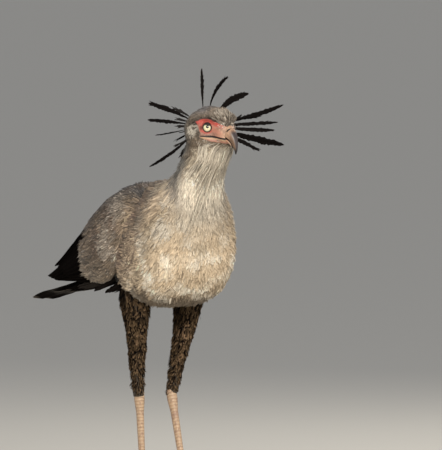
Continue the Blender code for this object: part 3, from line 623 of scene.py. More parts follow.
def body_marking(p, a):
    """Base colour of the plumage over the trunk, neck and head."""
    points = body(p, a)
    local = points - PLACE
    x, y, z = local[..., 0], local[..., 1], local[..., 2]
    rise = np.cos(a)
    cloud = patches(local, 0.050, 3)
    fine = patches(local, 0.016, 5)
    breast = painted(CREAM, [
        (PALE, smooth(-0.2, 0.9, cloud + 0.4 * fine)),
        (BUFF, smooth(0.1, 0.9, -cloud) * 0.55),
    ])
    shaded = smooth(0.672, 0.755, z + 0.016 * cloud + 0.008 * fine) * smooth(0.825, 0.790, z)
    breast = breast * mix(1.0, UPPER_BREAST_SHADE, shaded)
    tawny = painted(BACK_BROWN, [
        (WING_GREY, smooth(-0.5, 0.6, cloud)),
        (TAN, smooth(0.25, 0.9, fine) * 0.7),
        (SLATE, smooth(0.35, 0.95, -fine) * 0.5),
    ])
    tawny = tawny * mix(1.0, UPPER_BACK_SHADE, smooth(0.740, 0.780, z))
    limit = np.interp(z, BROWN_HEIGHTS, BROWN_LIMITS)
    brown = smooth(-0.018, 0.022, y - limit + 0.012 * cloud + 0.006 * fine)
    border = smooth(-0.045, -0.005, y - limit) * (1.0 - brown)
    neck = smooth(FIRST_HEAD_ROW - 3.4, FIRST_HEAD_ROW - 2.2, p + 0.25 * fine)
    front = smooth(0.12, -0.72, rise + 0.24 * fine)
    nape = mix(NAPE_SLATE, NAPE_LOW, smooth(0.885, 0.815, z + 0.012 * fine))
    throat = np.array(NECK_GREY) * np.interp(z, NECK_HEIGHTS, NECK_LIGHT_AND_SHADE)[..., None]
    neck_reach = np.maximum(smooth(0.862, 0.80, z - 0.08 * front), smooth(-0.45, 0.05, rise))
    apron_width = 0.052 - 0.46 * (0.800 - z)
    apron = smooth(0.010, -0.010, np.abs(x + 0.004) - apron_width) * smooth(-0.11, -0.15, y)
    # Painted shade in the hollow under the neck's hanging front feathers
    apron_shadow = smooth(0.020, 0.0, np.hypot((x + 0.007) * 0.8, z - 0.702)) * smooth(-0.14, -0.17, y)
    # Darker towards the belly's bottom: partly its own dark feathers, partly painted shade under the body
    low_belly_shade = smooth(0.612, 0.566, z + 0.012 * cloud + 0.012 * fine) * smooth(-0.215, -0.15, y)
    vent = smooth(-0.03, 0.04, y) * smooth(-0.05, -0.5, rise)
    return painted(breast, [
        (FLANK_TAN, border * 0.65),
        (tawny, brown),
        (mix(nape, throat, front), neck * neck_reach),
        (mix(APRON_PALE, APRON_DEEP, smooth(-0.4, 0.8, fine)), apron * (1.0 - neck) * 0.9),
        (HOLLOW_SHADE, apron_shadow * 0.7),
        (BELLY_DARK_AND_SHADE, low_belly_shade * 0.8),
        (BLACK, vent * 0.92),
        (head_marking(points), smooth(FIRST_HEAD_ROW - 0.2, FIRST_HEAD_ROW + 0.9, p)),
    ])


def head_marking(points):
    """Base colour of the small feathers of the head."""
    forward, _, z = in_head(points)
    fine = patches(points, 0.0065, 8)
    cloud = patches(points, 0.020, 9)
    streak = smooth(-0.4, 0.5, patches(points * STREAK_STRETCH, 0.006, 10))
    crown = smooth(0.966, 0.984, z)
    crown_top = smooth(0.975, 0.990, z) * smooth(0.030, 0.0, forward)
    forehead = smooth(0.030, 0.052, forward) * smooth(0.955, 0.965, z)
    ear = smooth(0.018, 0.007, np.hypot((forward + 0.005) * 0.9, z - 0.948))
    under_jaw = smooth(0.934, 0.926, z) * smooth(-0.020, 0.0, forward)
    chin_rise = 0.10 * np.clip(forward - 0.03, 0.0, 0.03)
    chin = smooth(0.9140, 0.9060, z - chin_rise) * smooth(-0.030, -0.005, forward)
    rim = face_distance(points)
    upper = smooth(0.9560, 0.9600, z)
    return painted(HEAD_DARK, [
        (HEAD_BROWN, smooth(-0.5, 0.6, fine + 0.3 * cloud)),
        (CROWN_BROWN, crown * 0.8),
        (CROWN_DARK, crown * smooth(0.0, 0.7, fine + cloud * 0.4) * 0.75),
        (CROWN_GREY, crown_top * 0.7),
        (FOREHEAD_BUFF, forehead * smooth(-0.5, 0.4, fine) * 0.85),
        (NAPE_SLATE, smooth(-0.014, -0.036, forward) * 0.8),
        (EAR_PALE, ear * smooth(-0.9, 0.2, fine) * 0.85),
        (JAW_BROWN, under_jaw * smooth(0.7, -0.3, fine) * 0.85),
        (CHIN_TAN, chin * 0.85),
        (STREAK_BROWN, upper * smooth(0.0110, 0.0040, rim) * streak * 0.75),
        # A thin painted shadow of the brow along the bare face's upper edge
        (BROW_SHADOW, upper * smooth(0.0022, 0.0006, rim) * smooth(0.054, 0.040, forward) * 0.9),
    ])


# Lines on the side of the face, points (forward, z): the mouth, the brow's ridge, the middle of the red
# band over the eye, and the outline of the bare skin
MOUTH = np.array([(0.0165, 0.9322), (0.026, 0.9326), (0.037, 0.9322), (0.0466, 0.9311),
                  (0.0605, 0.9284), (0.067, 0.9268)])
BROW = np.array([(-0.008, 0.9668), (0.001, 0.9706), (0.014, 0.9720), (0.028, 0.9705),
                 (0.044, 0.9672), (0.058, 0.9635)])
RED_LINE = np.array([(-0.001, 0.9620), (0.005, 0.9655), (0.019, 0.9683), (0.033, 0.9665),
                     (0.0456, 0.9612), (0.058, 0.9565), (0.069, 0.9548)])
FACE_OUTLINE = np.array([(-0.0045, 0.9628), (0.001, 0.9664), (0.010, 0.9692), (0.022, 0.9700),
                         (0.035, 0.9680), (0.047, 0.9632), (0.057, 0.9580), (0.066, 0.9538),
                         (0.074, 0.9510), (0.074, 0.9160), (0.067, 0.9165), (0.055, 0.9185),
                         (0.039, 0.9212), (0.027, 0.9256), (0.020, 0.9286), (0.0150, 0.9312),
                         (0.0145, 0.9380), (0.0105, 0.9440), (0.0065, 0.9500), (0.0020, 0.9560)])
BROW_HEIGHT = 0.0040
FAR = 1e9


def inside_outline(outline, u, v):
    """Signed distance in the plane to a closed outline, negative inside."""
    nearest = np.full(u.shape, FAR)
    odd = np.zeros(u.shape, bool)
    for (u0, v0), (u1, v1) in zip(outline, np.roll(outline, -1, axis=0)):
        du, dv = u1 - u0, v1 - v0
        t = np.clip(((u - u0) * du + (v - v0) * dv) / (du * du + dv * dv), 0.0, 1.0)
        nearest = np.minimum(nearest, np.hypot(u - u0 - t * du, v - v0 - t * dv))
        crosses = (v0 > v) != (v1 > v)
        at = u0 + (v - v0) / (dv if abs(dv) > 1e-9 else 1e-9) * du
        odd ^= crosses & (u < at)
    return np.where(odd, -nearest, nearest)


def line_distance(line, u, v):
    """Distance in the plane to an open line, and the height over it."""
    nearest = np.full(u.shape, FAR)
    over = np.zeros(u.shape)
    for (u0, v0), (u1, v1) in zip(line[:-1], line[1:]):
        du, dv = u1 - u0, v1 - v0
        t = np.clip(((u - u0) * du + (v - v0) * dv) / (du * du + dv * dv), 0.0, 1.0)
        away = np.hypot(u - u0 - t * du, v - v0 - t * dv)
        over = np.where(away < nearest, v - v0 - t * dv, over)
        nearest = np.minimum(nearest, away)
    return nearest, over


def face_distance(points):
    """Distance outside the bare face's outline, negative on the bare skin."""
    forward, _, z = in_head(points)
    return inside_outline(FACE_OUTLINE, forward, z)


def brow_height(points):
    """How far the brow stands out over the eye."""
    forward, _, z = in_head(points)
    away, _ = line_distance(BROW, forward, z)
    return BROW_HEIGHT * smooth(0.0085, 0.0010, away)


EYES = {name: box_centre("eye_" + name) for name in SIGNS}
GAZES = {name: head_vector(math.cos(GAZE), sign * math.sin(GAZE), 0.0) for name, sign in SIGNS.items()}


def face_marking(points):
    """Colour of the bare face: red round the eye, pink towards the bill, and the lower jaw's strip."""
    forward, _, z = in_head(points)
    fine = patches(points, 0.0045, 21)
    blotch = patches(points, 0.011, 22)
    eye = np.minimum(*[np.linalg.norm(points - centre, axis=-1) for centre in EYES.values()])
    round_eye = smooth(0.0205, 0.0165, eye)
    band, _ = line_distance(RED_LINE, forward, z)
    red = np.maximum(smooth(0.0080, 0.0030, band), round_eye * 0.85)
    red = red * np.clip(0.85 + 0.25 * fine, 0.0, 1.0)
    cheek = smooth(0.9425, 0.9390, z + 0.0015 * blotch) * smooth(0.056, 0.034, forward)
    level = z - EYE_AT[2]
    rear_corner = round_eye * smooth(0.0060, 0.0020, np.abs(level + 0.001)) * (forward < EYE_AT[0])
    front_corner = round_eye * smooth(0.0050, 0.0015, np.abs(level)) * (forward > EYE_AT[0])
    away, over = line_distance(MOUTH, forward, z)
    jaw = smooth(0.0, -0.0010, over) * smooth(0.006, 0.014, forward)
    line = 0.0008 + 0.0009 * smooth(0.020, 0.036, forward)
    return painted(FACE_PINK, [
        (CERE, smooth(0.044, 0.070, forward + 0.006 * blotch)),
        (CHEEK_BROWN, cheek * 0.8),
        (FACE_BLOTCH, smooth(0.0, 0.8, blotch + 0.5 * fine) * 0.6),
        (FACE_RED, red * smooth(0.069, 0.050, forward)),
        (EYE_CORNER, np.maximum(rear_corner, front_corner) * 0.8),
        (mix(JAW_PINK, JAW_RED, smooth(0.0040, 0.0070, away)), jaw * 0.9),
        # Painted shade along the mouth's line, where the bill halves meet
        (MOUTH_SHADE, smooth(line + 0.0009, line, away)),
    ])


# Skin
# How far it lies under the coat's outer surface, how far it keeps off the eyeballs, and its mesh
TRUNK_DEPTH = 0.0070
NECK_DEPTH = 0.0060
HEAD_DEPTH = 0.0016
THIGH_DEPTH = 0.004
BALL_CLEARANCE = 0.0009
# How much darker the skin is than the plumage's colour: painted shade deep under the coat
SKIN_SHADE = 0.70
TRUNK_RINGS = 76
HEAD_RINGS = 200
SKIN_SIDES = 270
# Depths of the outer and inner face of a wing's flesh under its feathers
LINER_DEPTHS = (0.0050, 0.0085)
# Shares of the UV square: the body below, the thighs over it
BODY_UV = 0.6
THIGH_UV = (0.62, 0.36)


def coat_depth(p):
    """How far the skin lies under the outer surface of the coat."""
    on_neck = smooth(FIRST_HEAD_ROW - 4.0, FIRST_HEAD_ROW - 2.0, p)
    on_head = smooth(FIRST_HEAD_ROW - 0.5, FIRST_HEAD_ROW + 2.5, p)
    depth = TRUNK_DEPTH + (NECK_DEPTH - TRUNK_DEPTH) * on_neck
    return depth + (HEAD_DEPTH - depth) * on_head


def face_relief(points, normal):
    """Raise the brow and jaw, press in the mouth line, and keep the skin over the eyeballs."""
    forward, _, z = in_head(points)
    bare = smooth(0.002, -0.002, inside_outline(FACE_OUTLINE, forward, z))
    away, _ = line_distance(MOUTH, forward, z)
    crease = smooth(0.0022, 0.0003, away)
    lip = smooth(0.0055, 0.0020, away)
    wrinkle = 0.00022 * patches(points, 0.0035, 23) * bare
    moved = points + normal * (brow_height(points) - 0.0020 * crease + 0.0008 * lip + 0.0014 * bare
                               + wrinkle)[..., None]
    for centre in EYES.values():
        away = np.linalg.norm(moved - centre, axis=-1, keepdims=True)
        over_ball = EYE_RADIUS + BALL_CLEARANCE
        push = smooth(over_ball + 0.0030, over_ball - 0.0010, away)
        target = centre + unit(moved - centre) * np.maximum(away, over_ball)
        moved = moved + (target - moved) * push
    return moved


def skin_rings():
    """Places of the skin's rings: a few millimetres apart on the trunk, about one on the head."""
    trunk = np.linspace(1.0, FIRST_HEAD_ROW, TRUNK_RINGS, endpoint=False)
    head = np.linspace(FIRST_HEAD_ROW, LAST_ROW - 0.0001, HEAD_RINGS)
    return np.concatenate([trunk, head])


def unwrap_body(p, a):
    """The UVs of the trunk, neck and head."""
    height = np.clip((p - 1.0) / (LAST_ROW - 1.0), 0.0, 1.0) * BODY_UV
    return np.stack([np.mod(a / math.tau, 1.0), height], axis=-1)


def unwrap_thigh(sign):
    """The UVs of a thigh, the right one before the left one."""
    def unwrap(p, a):
        start = (sign + 1.0) / 2.0
        height = THIGH_UV[0] + THIGH_UV[1] * p / (len(THIGH) - 1.0)
        return np.stack([(np.mod(a / math.tau, 1.0) + start) * 0.5, height], axis=-1)
    return unwrap


def over_eyeball(points):
    """Which points lie before an eyeball, where the skin is open."""
    covered = np.zeros(len(points), bool)
    for name, centre in EYES.items():
        out = points - centre
        ahead = out @ GAZES[name]
        aside = np.linalg.norm(out - ahead[:, None] * GAZES[name], axis=-1)
        covered |= (aside < SKIN_HOLE) & (ahead > 0.0) & (ahead < 0.03)
    return covered


def trunk_skin():
    """The skin of the trunk, neck and head."""
    places = skin_rings()
    p, a = ring_grid(places, SKIN_SIDES)
    normal, _, _ = normals_of(body, p, a, 0.004, 0.004, body_away(p, a))
    points = body(p, a) - normal * coat_depth(p)[..., None]
    on_head = smooth(FIRST_HEAD_ROW + 0.5, FIRST_HEAD_ROW + 1.5, p)[..., None]
    points = points + (face_relief(points, normal) - points) * on_head
    bare = smooth(0.0012, -0.0006, face_distance(points)) * on_head[..., 0]
    colours = mix(body_marking(p, a) * SKIN_SHADE, face_marking(points), bare)
    faces = grid_faces(len(places), SKIN_SIDES)
    points = points.reshape(-1, 3)
    shown = ~over_eyeball(points[faces].mean(axis=1))
    return points, faces[shown], colours.reshape(-1, 3), unwrap_body(p, a).reshape(-1, 2)


def thigh_skin(sign):
    """The skin of a thigh, which runs out to the heel."""
    surface = thigh_surface(sign)
    rows = 60
    columns = 48
    p, a = ring_grid(np.linspace(0.0, len(THIGH) - 1.0, rows), columns)
    normal, _, _ = normals_of(surface, p, a, 0.01, 0.01, thigh_away(p, a))
    depth = THIGH_DEPTH * smooth(len(THIGH) - 1.0, len(THIGH) - 2.2, p)
    points = surface(p, a) - normal * depth[..., None]
    colours = np.broadcast_to(np.array(UMBER) * 0.35, points.shape)
    return (points.reshape(-1, 3), grid_faces(rows, columns), colours.reshape(-1, 3),
            unwrap_thigh(sign)(p, a).reshape(-1, 2))


def wing_flesh(sign):
    """The thin flesh of the folded wing under its feathers, a closed shell."""
    surface = wing_surface(sign)
    rows = 50
    columns = 30
    y, share = np.meshgrid(np.linspace(*WING_LINER, rows), np.linspace(0.05, 0.95, columns), indexing="ij")
    outer = surface(y, share, LINER_DEPTHS[0])
    inner = surface(y, share, LINER_DEPTHS[1])[:, ::-1]
    points = np.concatenate([outer, inner], axis=1).reshape(-1, 3)
    both_y = np.concatenate([y, y], axis=1)
    both_shares = np.concatenate([share, 1.0 + share[:, ::-1]], axis=1)
    uvs = np.stack([both_shares * 0.5, both_y], axis=-1).reshape(-1, 2)
    colours = mix(np.array(WING_GREY) * 0.5, BLACK, smooth(0.12, 0.20, both_y).ravel())
    return points, grid_faces(rows, columns * 2), colours, uvs


def dress_skin():
    """The one skin, with the wings' thin flesh; gives back the points of its trunk, neck and head."""
    trunk = trunk_skin()
    parts = [trunk, thigh_skin(SIGNS["right"]), thigh_skin(SIGNS["left"]),
             wing_flesh(SIGNS["right"]), wing_flesh(SIGNS["left"])]
    add_piece("skin", joined(parts), SKIN_MATERIAL,
              ["torso", "neck", "head", "thigh_right", "thigh_left"])
    return trunk[0]


# Feathers
# What a coat grows on: the surface, its rough outward direction, its UVs, and whether feathers run along it
# with the stations (1, or 2 on a wing) or against them (-1)
Cover = namedtuple("Cover", "surface away unwrap flow")
BODY_COVER = Cover(body, body_away, unwrap_body, -1)
# Step over which each kind of surface's slope is taken at a feather's root
ROOT_STEPS = {-1: 0.01, 1: 0.01, 2: 0.002}
# Side of the small patch of UVs that each feather has round its root's own
FEATHER_UV = 0.0015


def lie(cover, p, a, length, turn, share, height):
    """Centre points, normals and sideways directions of feathers that follow a surface from their roots."""
    surface, away, _, flow = cover
    normal, along, round_it = normals_of(surface, p, a, ROOT_STEPS[flow], 0.01, away(p, a))
    step_p = math.copysign(1.0, flow) * length * np.cos(turn) / np.linalg.norm(along, axis=-1)
    step_a = length * np.sin(turn) / np.maximum(np.linalg.norm(round_it, axis=-1), 1e-4)
    at_p = p[:, None] + step_p[:, None] * share
    at_a = a[:, None] + step_a[:, None] * share
    normal, _, _ = normals_of(surface, at_p, at_a, 0.01, 0.01, away(at_p, at_a))
    centres = surface(at_p, at_a) + normal * height[..., None]
    ahead = unit(np.gradient(centres, axis=1))
    sideways = unit(np.cross(ahead, normal))
    return centres, normal, sideways


def feather_faces(rows, columns):
    """Triangles of one feather: its rows of points, then one barb tip for each gap of the last row."""
    faces = []
    for row in range(rows - 2):
        for column in range(columns - 1):
            low = row * columns + column
            faces.append((low, low + 1, low + columns + 1))
            faces.append((low, low + columns + 1, low + columns))
    for column in range(columns - 1):
        low = (rows - 2) * columns + column
        faces.append((low, low + 1, (rows - 1) * columns + column))
    return np.array(faces)


def feather_mesh(centres, normals, sideways, widths, colours, base_uv, draw, columns, camber, fray):
    """Vane meshes in one array: rows of points across each feather and a frayed row of barb tips."""
    count, rows = widths.shape
    across = np.linspace(-1.0, 1.0, columns)
    offset = widths[..., None] * across
    dip = -camber * widths[..., None] * across ** 2
    points = (centres[:, :, None, :] + sideways[:, :, None, :] * offset[..., None]
              + normals[:, :, None, :] * dip[..., None])
    vane = points[:, :-1]
    last = vane[:, -1]
    tips_at = (last[:, 1:] + last[:, :-1]) / 2.0
    reach = (centres[:, -1] - centres[:, -2])[:, None, :]
    spread = 1.0 - 0.55 * np.abs(np.linspace(-1.0, 1.0, columns - 1)) ** 1.5
    reach = reach * (spread * draw.uniform(1.0 - fray, 1.0, (count, columns - 1)))[..., None]
    stray_tips = draw.normal(0.0, 0.12, (count, columns - 1)) * widths[:, -2:-1]
    tips = tips_at + reach + sideways[:, -1:, :] * stray_tips[..., None]
    each = (rows - 1) * columns + columns - 1
    verts = np.concatenate([vane.reshape(count, -1, 3), tips], axis=1)
    starts = np.arange(count) * each
    faces = (feather_faces(rows, columns)[None] + starts[:, None, None]).reshape(-1, 3)
    tints = np.concatenate([colours[:, :-1].reshape(count, -1, 3), colours[:, -1, :-1]], axis=1)
    t = np.concatenate([np.repeat(np.linspace(0.0, 0.8, rows - 1), columns), np.ones(columns - 1)])
    s = np.concatenate([np.tile(across, rows - 1), (across[1:] + across[:-1]) / 2.0])
    uvs = base_uv[:, None, :] + FEATHER_UV * np.stack([s, t * 2.0 - 1.0], axis=-1)[None]
    return verts.reshape(-1, 3), faces, tints.reshape(-1, 3), uvs.reshape(-1, 2)


def scatter(surface, low_p, high_p, low_a, high_a, count, draw, weight=None):
    """Random roots spread evenly over a surface, thinned by a weight between 0 and 1."""
    fine_p = 160
    fine_a = 140
    p, a = np.meshgrid(np.linspace(low_p, high_p, fine_p), np.linspace(low_a, high_a, fine_a),
                       indexing="ij")
    points = surface(p, a)
    along = np.linalg.norm(points[1:, :-1] - points[:-1, :-1], axis=-1)
    cross = np.linalg.norm(points[:-1, 1:] - points[:-1, :-1], axis=-1)
    area = along * cross
    if weight is not None:
        area = area * weight(p[:-1, :-1], a[:-1, :-1])
    chance = (area / area.sum()).ravel()
    cell = draw.choice(len(chance), size=count, p=chance)
    i, j = np.divmod(cell, fine_a - 1)
    step_p = (high_p - low_p) / (fine_p - 1)
    step_a = (high_a - low_a) / (fine_a - 1)
    return low_p + (i + draw.random(count)) * step_p, low_a + (j + draw.random(count)) * step_a


def profile(share, root, peak, tip):
    """Half width along a feather as a share of its widest."""
    rising = root + (1.0 - root) * smooth(0.0, peak, share)
    falling = np.sqrt(np.clip(1.0 - ((share - peak) / (1.0 - peak)) ** 2, 0.0, 1.0))
    return np.where(share < peak, rising, np.maximum(falling, tip))


# Places along a small feather and its half widths there
SOFT_SHARES = np.array([0.0, 0.35, 0.72, 1.0])
SOFT_WIDTHS = np.array([0.40, 1.0, 0.66, 0.30])
BATCH = 2000


def clumps(points, each, draw):
    """The middle of the tuft that each point belongs to, and that tuft's number."""
    number = max(6, len(points) // each)
    middles = points[draw.choice(len(points), number, replace=False)]
    which = np.empty(len(points), int)
    for start in range(0, len(points), BATCH):
        gap = ((points[start:start + BATCH, None] - middles[None]) ** 2).sum(axis=-1)
        which[start:start + BATCH] = gap.argmin(axis=1)
    return middles[which], which, number


def soft_coat(name, cover, roots, base, length, width, turn, lift, depth, draw, made=COAT_MATERIAL,
              pale=0.35, columns=4, each=14, pull=0.55, tuft_lift=0.0012,
              bright=0.15, dark=0.12, gain=1.30, uneven=0.10, root_shade=0.50):
    """A coat of small loose feathers in tufts whose tips draw together, pale at the tips, dark at the roots.

    Roots are the feathers' places on the cover and base their colours. A tuft has about as many feathers as
    each says, and pull is how far their tips draw together. The share bright of them is lighter by gain, and
    the share dark is darker. root_shade darkens the roots: partly their own bases, partly painted shade.
    """
    p, a = roots
    surface, away, unwrap, flow = cover
    count = len(p)
    at = surface(p, a)
    middles, which, number = clumps(at, each, draw)
    _, along, round_it = normals_of(surface, p, a, 0.01, 0.01, away(p, a))
    aside = np.sum((middles - at) * unit(round_it), axis=-1)
    ahead = np.sum((middles - at) * unit(along), axis=-1) * math.copysign(1.0, flow)
    turn = turn + np.clip(pull * aside / length, -0.7, 0.7) + draw.normal(0.0, 0.14, number)[which]
    length = np.clip(length + 0.5 * ahead, 0.6 * length, 1.5 * length)
    lift = lift + draw.normal(0.0, tuft_lift, number)[which]
    share = SOFT_SHARES[None, :]
    height = -depth[:, None] + (depth + lift)[:, None] * np.sin(share * math.pi * 0.5)
    centres, normals, sideways = lie(cover, p, a, length, turn, share, height)
    widths = width[:, None] * SOFT_WIDTHS[None, :]
    tone = 1.0 + draw.normal(0.0, uneven, count) + draw.normal(0.0, uneven, number)[which]
    pick = draw.random(count)
    tone = np.where(pick < bright, tone * gain, np.where(pick > 1.0 - dark, tone * 0.55, tone))
    base = np.clip(base * tone[:, None], 0.0, 0.85)
    light = np.clip(base * (1.0 + 0.55 * pale) + 0.01 * pale, 0.0, 0.88)
    t = SOFT_SHARES[None, :, None, None] ** 0.8
    across = np.abs(np.linspace(-1.0, 1.0, columns))[None, None, :, None]
    colours = base[:, None, None, :] * root_shade * (1.0 - t) + light[:, None, None, :] * t
    streak = draw.random(count)[:, None, None, None] < 0.3
    colours = np.where(streak, colours * (0.66 + 0.34 * across), colours)
    arrays = feather_mesh(centres, normals, sideways, widths, colours, unwrap(p, a), draw, columns,
                          camber=0.3, fray=0.45)
    return add_piece(name, arrays, made)


def amount(number):
    """Number of feathers: the given number, whole."""
    return int(number * (1.0))


def trunk_weight(p, a):
    """Where trunk feathers grow: few of them under the folded wings."""
    local = body(p, a) - PLACE
    under_wing = smooth(0.02, 0.06, local[..., 1]) * smooth(0.25, 0.45, np.abs(np.sin(a)))
    return 1.0 - 0.8 * under_wing


def stray(count, draw, share, reach):
    """Lift of the few feathers that stand off the coat."""
    return np.where(draw.random(count) < share, draw.uniform(0.3, 1.0, count) * reach, 0.0)


# Zones of the trunk's plumage: name, angles from the top where it starts and ends, count
TRUNK_ZONES = [
    ("plumage_back", -1.05, 1.05, 8000),
    ("plumage_left", 1.05, 2.35, 11500),
    ("plumage_belly", 2.35, 3.93, 16400),
    ("plumage_right", 3.93, 5.23, 11500),
]


def dress_trunk():
    """Small feathers over the breast, belly, flanks and back, with the mantle and fringes over them."""
    draw = np.random.default_rng(31)
    for name, low_a, high_a, number in TRUNK_ZONES:
        p, a = scatter(body, 1.02, FIRST_HEAD_ROW - 2.4, low_a, high_a, amount(number), draw, trunk_weight)
        count = len(p)
        length = draw.uniform(0.026, 0.042, count)
        width = draw.uniform(0.0010, 0.0024, count)
        turn = draw.normal(0.0, 0.12, count) + 0.22 * patches(body(p, a), 0.080, 40)
        lift = draw.uniform(-0.0010, 0.0014, count) + stray(count, draw, 0.04, 0.0050)
        soft_coat(name, BODY_COVER, (p, a), body_marking(p, a), length, width, turn, lift, coat_depth(p),
                  draw, columns=3, each=14, pull=0.4, tuft_lift=0.0008, bright=0.12, dark=0.05, gain=1.18,
                  uneven=0.07, root_shade=0.62)
    dress_mantle(draw)
    dress_fringes(draw)


# Feathers over the front of each wing: name, angle from the top, reach to each side, first and last row,
# count
WING_COVERS = [
    ("mantle", 0.85, 0.85, 5.2, 8.0, 1900),
    ("flank", 2.00, 0.50, 4.6, 7.3, 1300),
]


def dress_mantle(draw):
    """Long soft feathers from the shoulders and flanks back, over the front ends of the folded wings."""
    for part, middle, reach, first, last, number in WING_COVERS:
        for name in ("left", "right"):
            sign = SIGNS[name]
            low, high = sorted((sign * (middle - reach), sign * (middle + reach)))
            p, a = scatter(body, first, last, low, high, amount(number), draw)
            count = len(p)
            y = (body(p, a) - PLACE)[:, 1]
            length = draw.uniform(0.035, 0.060, count)
            width = draw.uniform(0.0022, 0.0044, count)
            turn = draw.normal(0.0, 0.12, count)
            lift = draw.uniform(0.001, 0.004, count) + 0.008 * smooth(-0.10, -0.03, y)
            soft_coat("plumage_" + part + "_" + name, BODY_COVER, (p, a), body_marking(p, a), length, width,
                      turn, lift, coat_depth(p), draw, tuft_lift=0.0008, each=8)


def fringe_weight(p, a):
    """Where fringes grow: along the brown's border, mostly just behind it."""
    local = body(p, a) - PLACE
    behind = local[..., 1] - np.interp(local[..., 2], BROWN_HEIGHTS, BROWN_LIMITS)
    return smooth(-0.006, 0.004, behind) * smooth(0.060, 0.035, behind) + 0.001


def dress_fringes(draw):
    """Brown hair-like feathers from before each wing, laid down and back over the pale flank."""
    for name in ("left", "right"):
        sign = SIGNS[name]
        low, high = sorted((sign * 1.35, sign * 2.70))
        p, a = scatter(body, 3.8, 7.6, low, high, amount(2000), draw, fringe_weight)
        count = len(p)
        tint = mix(BACK_BROWN, FRINGE_TAN, draw.random(count) ** 0.8) * draw.uniform(0.7, 1.15, (count, 1))
        length = draw.uniform(0.026, 0.050, count)
        width = draw.uniform(0.0007, 0.0016, count)
        turn = sign * draw.uniform(0.15, 1.05, count)
        lift = draw.uniform(0.0015, 0.0070, count)
        soft_coat("plumage_fringe_" + name, BODY_COVER, (p, a), tint, length, width, turn, lift,
                  coat_depth(p), draw, pale=0.6, columns=3, each=5, pull=0.6, gain=1.5)


def dress_neck():
    """Long narrow strands down the neck, paler in front."""
    draw = np.random.default_rng(32)
    zones = [
        ("plumage_neck_front", 1.57, 4.71, 13000),
        ("plumage_neck_back", -1.57, 1.57, 6000),
    ]
    for name, low_a, high_a, number in zones:
        p, a = scatter(body, FIRST_HEAD_ROW - 3.0, FIRST_HEAD_ROW + 1.3, low_a, high_a, amount(number),
                       draw)
        count = len(p)
        length = draw.uniform(0.026, 0.048, count)
        width = draw.uniform(0.0006, 0.0015, count)
        turn = draw.normal(0.0, 0.09, count)
        lift = draw.uniform(-0.0010, 0.0020, count) + stray(count, draw, 0.05, 0.0050)
        soft_coat(name, BODY_COVER, (p, a), body_marking(p, a), length, width, turn, lift, coat_depth(p),
                  draw, pale=0.5, columns=3, each=12, bright=0.22, dark=0.12,
                  tuft_lift=0.0014, gain=1.2, uneven=0.09, root_shade=0.55)


def dress_beard():
    """Loose strands that hang from the chin and throat, free of the neck at their tips."""
    draw = np.random.default_rng(43)
    p, a = scatter(body, FIRST_HEAD_ROW + 0.2, FIRST_HEAD_ROW + 5.5, math.pi - 1.1, math.pi + 1.1,
                   amount(900), draw, head_weight)
    count = len(p)
    length = draw.uniform(0.028, 0.052, count)
    width = draw.uniform(0.0006, 0.0013, count)
    lift = draw.uniform(0.001, 0.006, count)
    tint = mix(NECK_GREY, PALE, draw.random(count)) * draw.uniform(0.52, 1.08, (count, 1))
    turn = draw.normal(0.0, 0.10, count)
    soft_coat("plumage_beard", BODY_COVER, (p, a), tint, length, width, turn, lift, coat_depth(p), draw,
              pale=0.3, columns=3, each=6, pull=0.9, bright=0.2, dark=0.1,
              gain=1.15)


def head_weight(p, a):
    """Where head feathers grow: everywhere but on the bare face and the bill's base."""
    points = body(p, a)
    return smooth(-0.0008, 0.0008, face_distance(points))


def dress_head():
    """Fine feathers of the head, shorter towards the bill and standing up on the forehead."""
    draw = np.random.default_rng(33)
    p, a = scatter(body, FIRST_HEAD_ROW + 0.7, LAST_ROW - 0.15, 0.0, math.tau, amount(17500), draw,
                   head_weight)
    count = len(p)
    points = body(p, a)
    forward, _, z = in_head(points)
    size = 0.42 + 0.58 * smooth(0.045, -0.020, forward)
    forehead = smooth(0.020, 0.048, forward) * smooth(0.955, 0.964, z)
    length = draw.uniform(0.0090, 0.0150, count) * (size + 0.7 * forehead)
    width = draw.uniform(0.0005, 0.0010, count) * (0.6 + 0.4 * size)
    turn = draw.normal(0.0, 0.12, count)
    lift = draw.uniform(0.0, 0.0014, count) * size + brow_height(points)
    lift = lift + stray(count, draw, 0.04, 0.0025) * size + forehead * draw.uniform(0.0030, 0.0105, count)
    lift = lift - 0.0012 * smooth(0.980, 0.990, z) * (1.0 - forehead)
    soft_coat("plumage_head", BODY_COVER, (p, a), body_marking(p, a), length, width, turn, lift,
              coat_depth(p) * 0.9, draw, pale=0.45, columns=3, each=10,
              tuft_lift=0.0005, bright=0.22, dark=0.22)


def bristle_weight(p, a):
    """Where bristles grow: before the eyes, and thinly on the chin."""
    forward, _, z = in_head(body(p, a))
    lore = smooth(0.044, 0.052, forward) * smooth(0.948, 0.954, z) * smooth(0.068, 0.062, forward)
    return lore + 0.12 * smooth(0.010, 0.020, forward) * smooth(0.9290, 0.9250, z) + 0.001


def dress_bristles():
    """Short pale bristles on the bare skin between the eyes and the nostrils, and on the chin."""
    draw = np.random.default_rng(44)
    p, a = scatter(body, FIRST_HEAD_ROW + 1.0, LAST_ROW - 0.1, 0.0, math.tau, amount(420), draw,
                   bristle_weight)
    count = len(p)
    tint = np.array(BRISTLE_PALE) * draw.uniform(0.6, 1.1, (count, 1))
    length = draw.uniform(0.0040, 0.0080, count)
    width = draw.uniform(0.00022, 0.00045, count)
    turn = draw.normal(0.0, 0.35, count)
    lift = draw.uniform(0.0010, 0.0030, count)
    soft_coat("plumage_bristles", BODY_COVER, (p, a), tint, length, width, turn, lift,
              coat_depth(p) * 0.5, draw, pale=0.3, columns=3, each=4, pull=0.2)


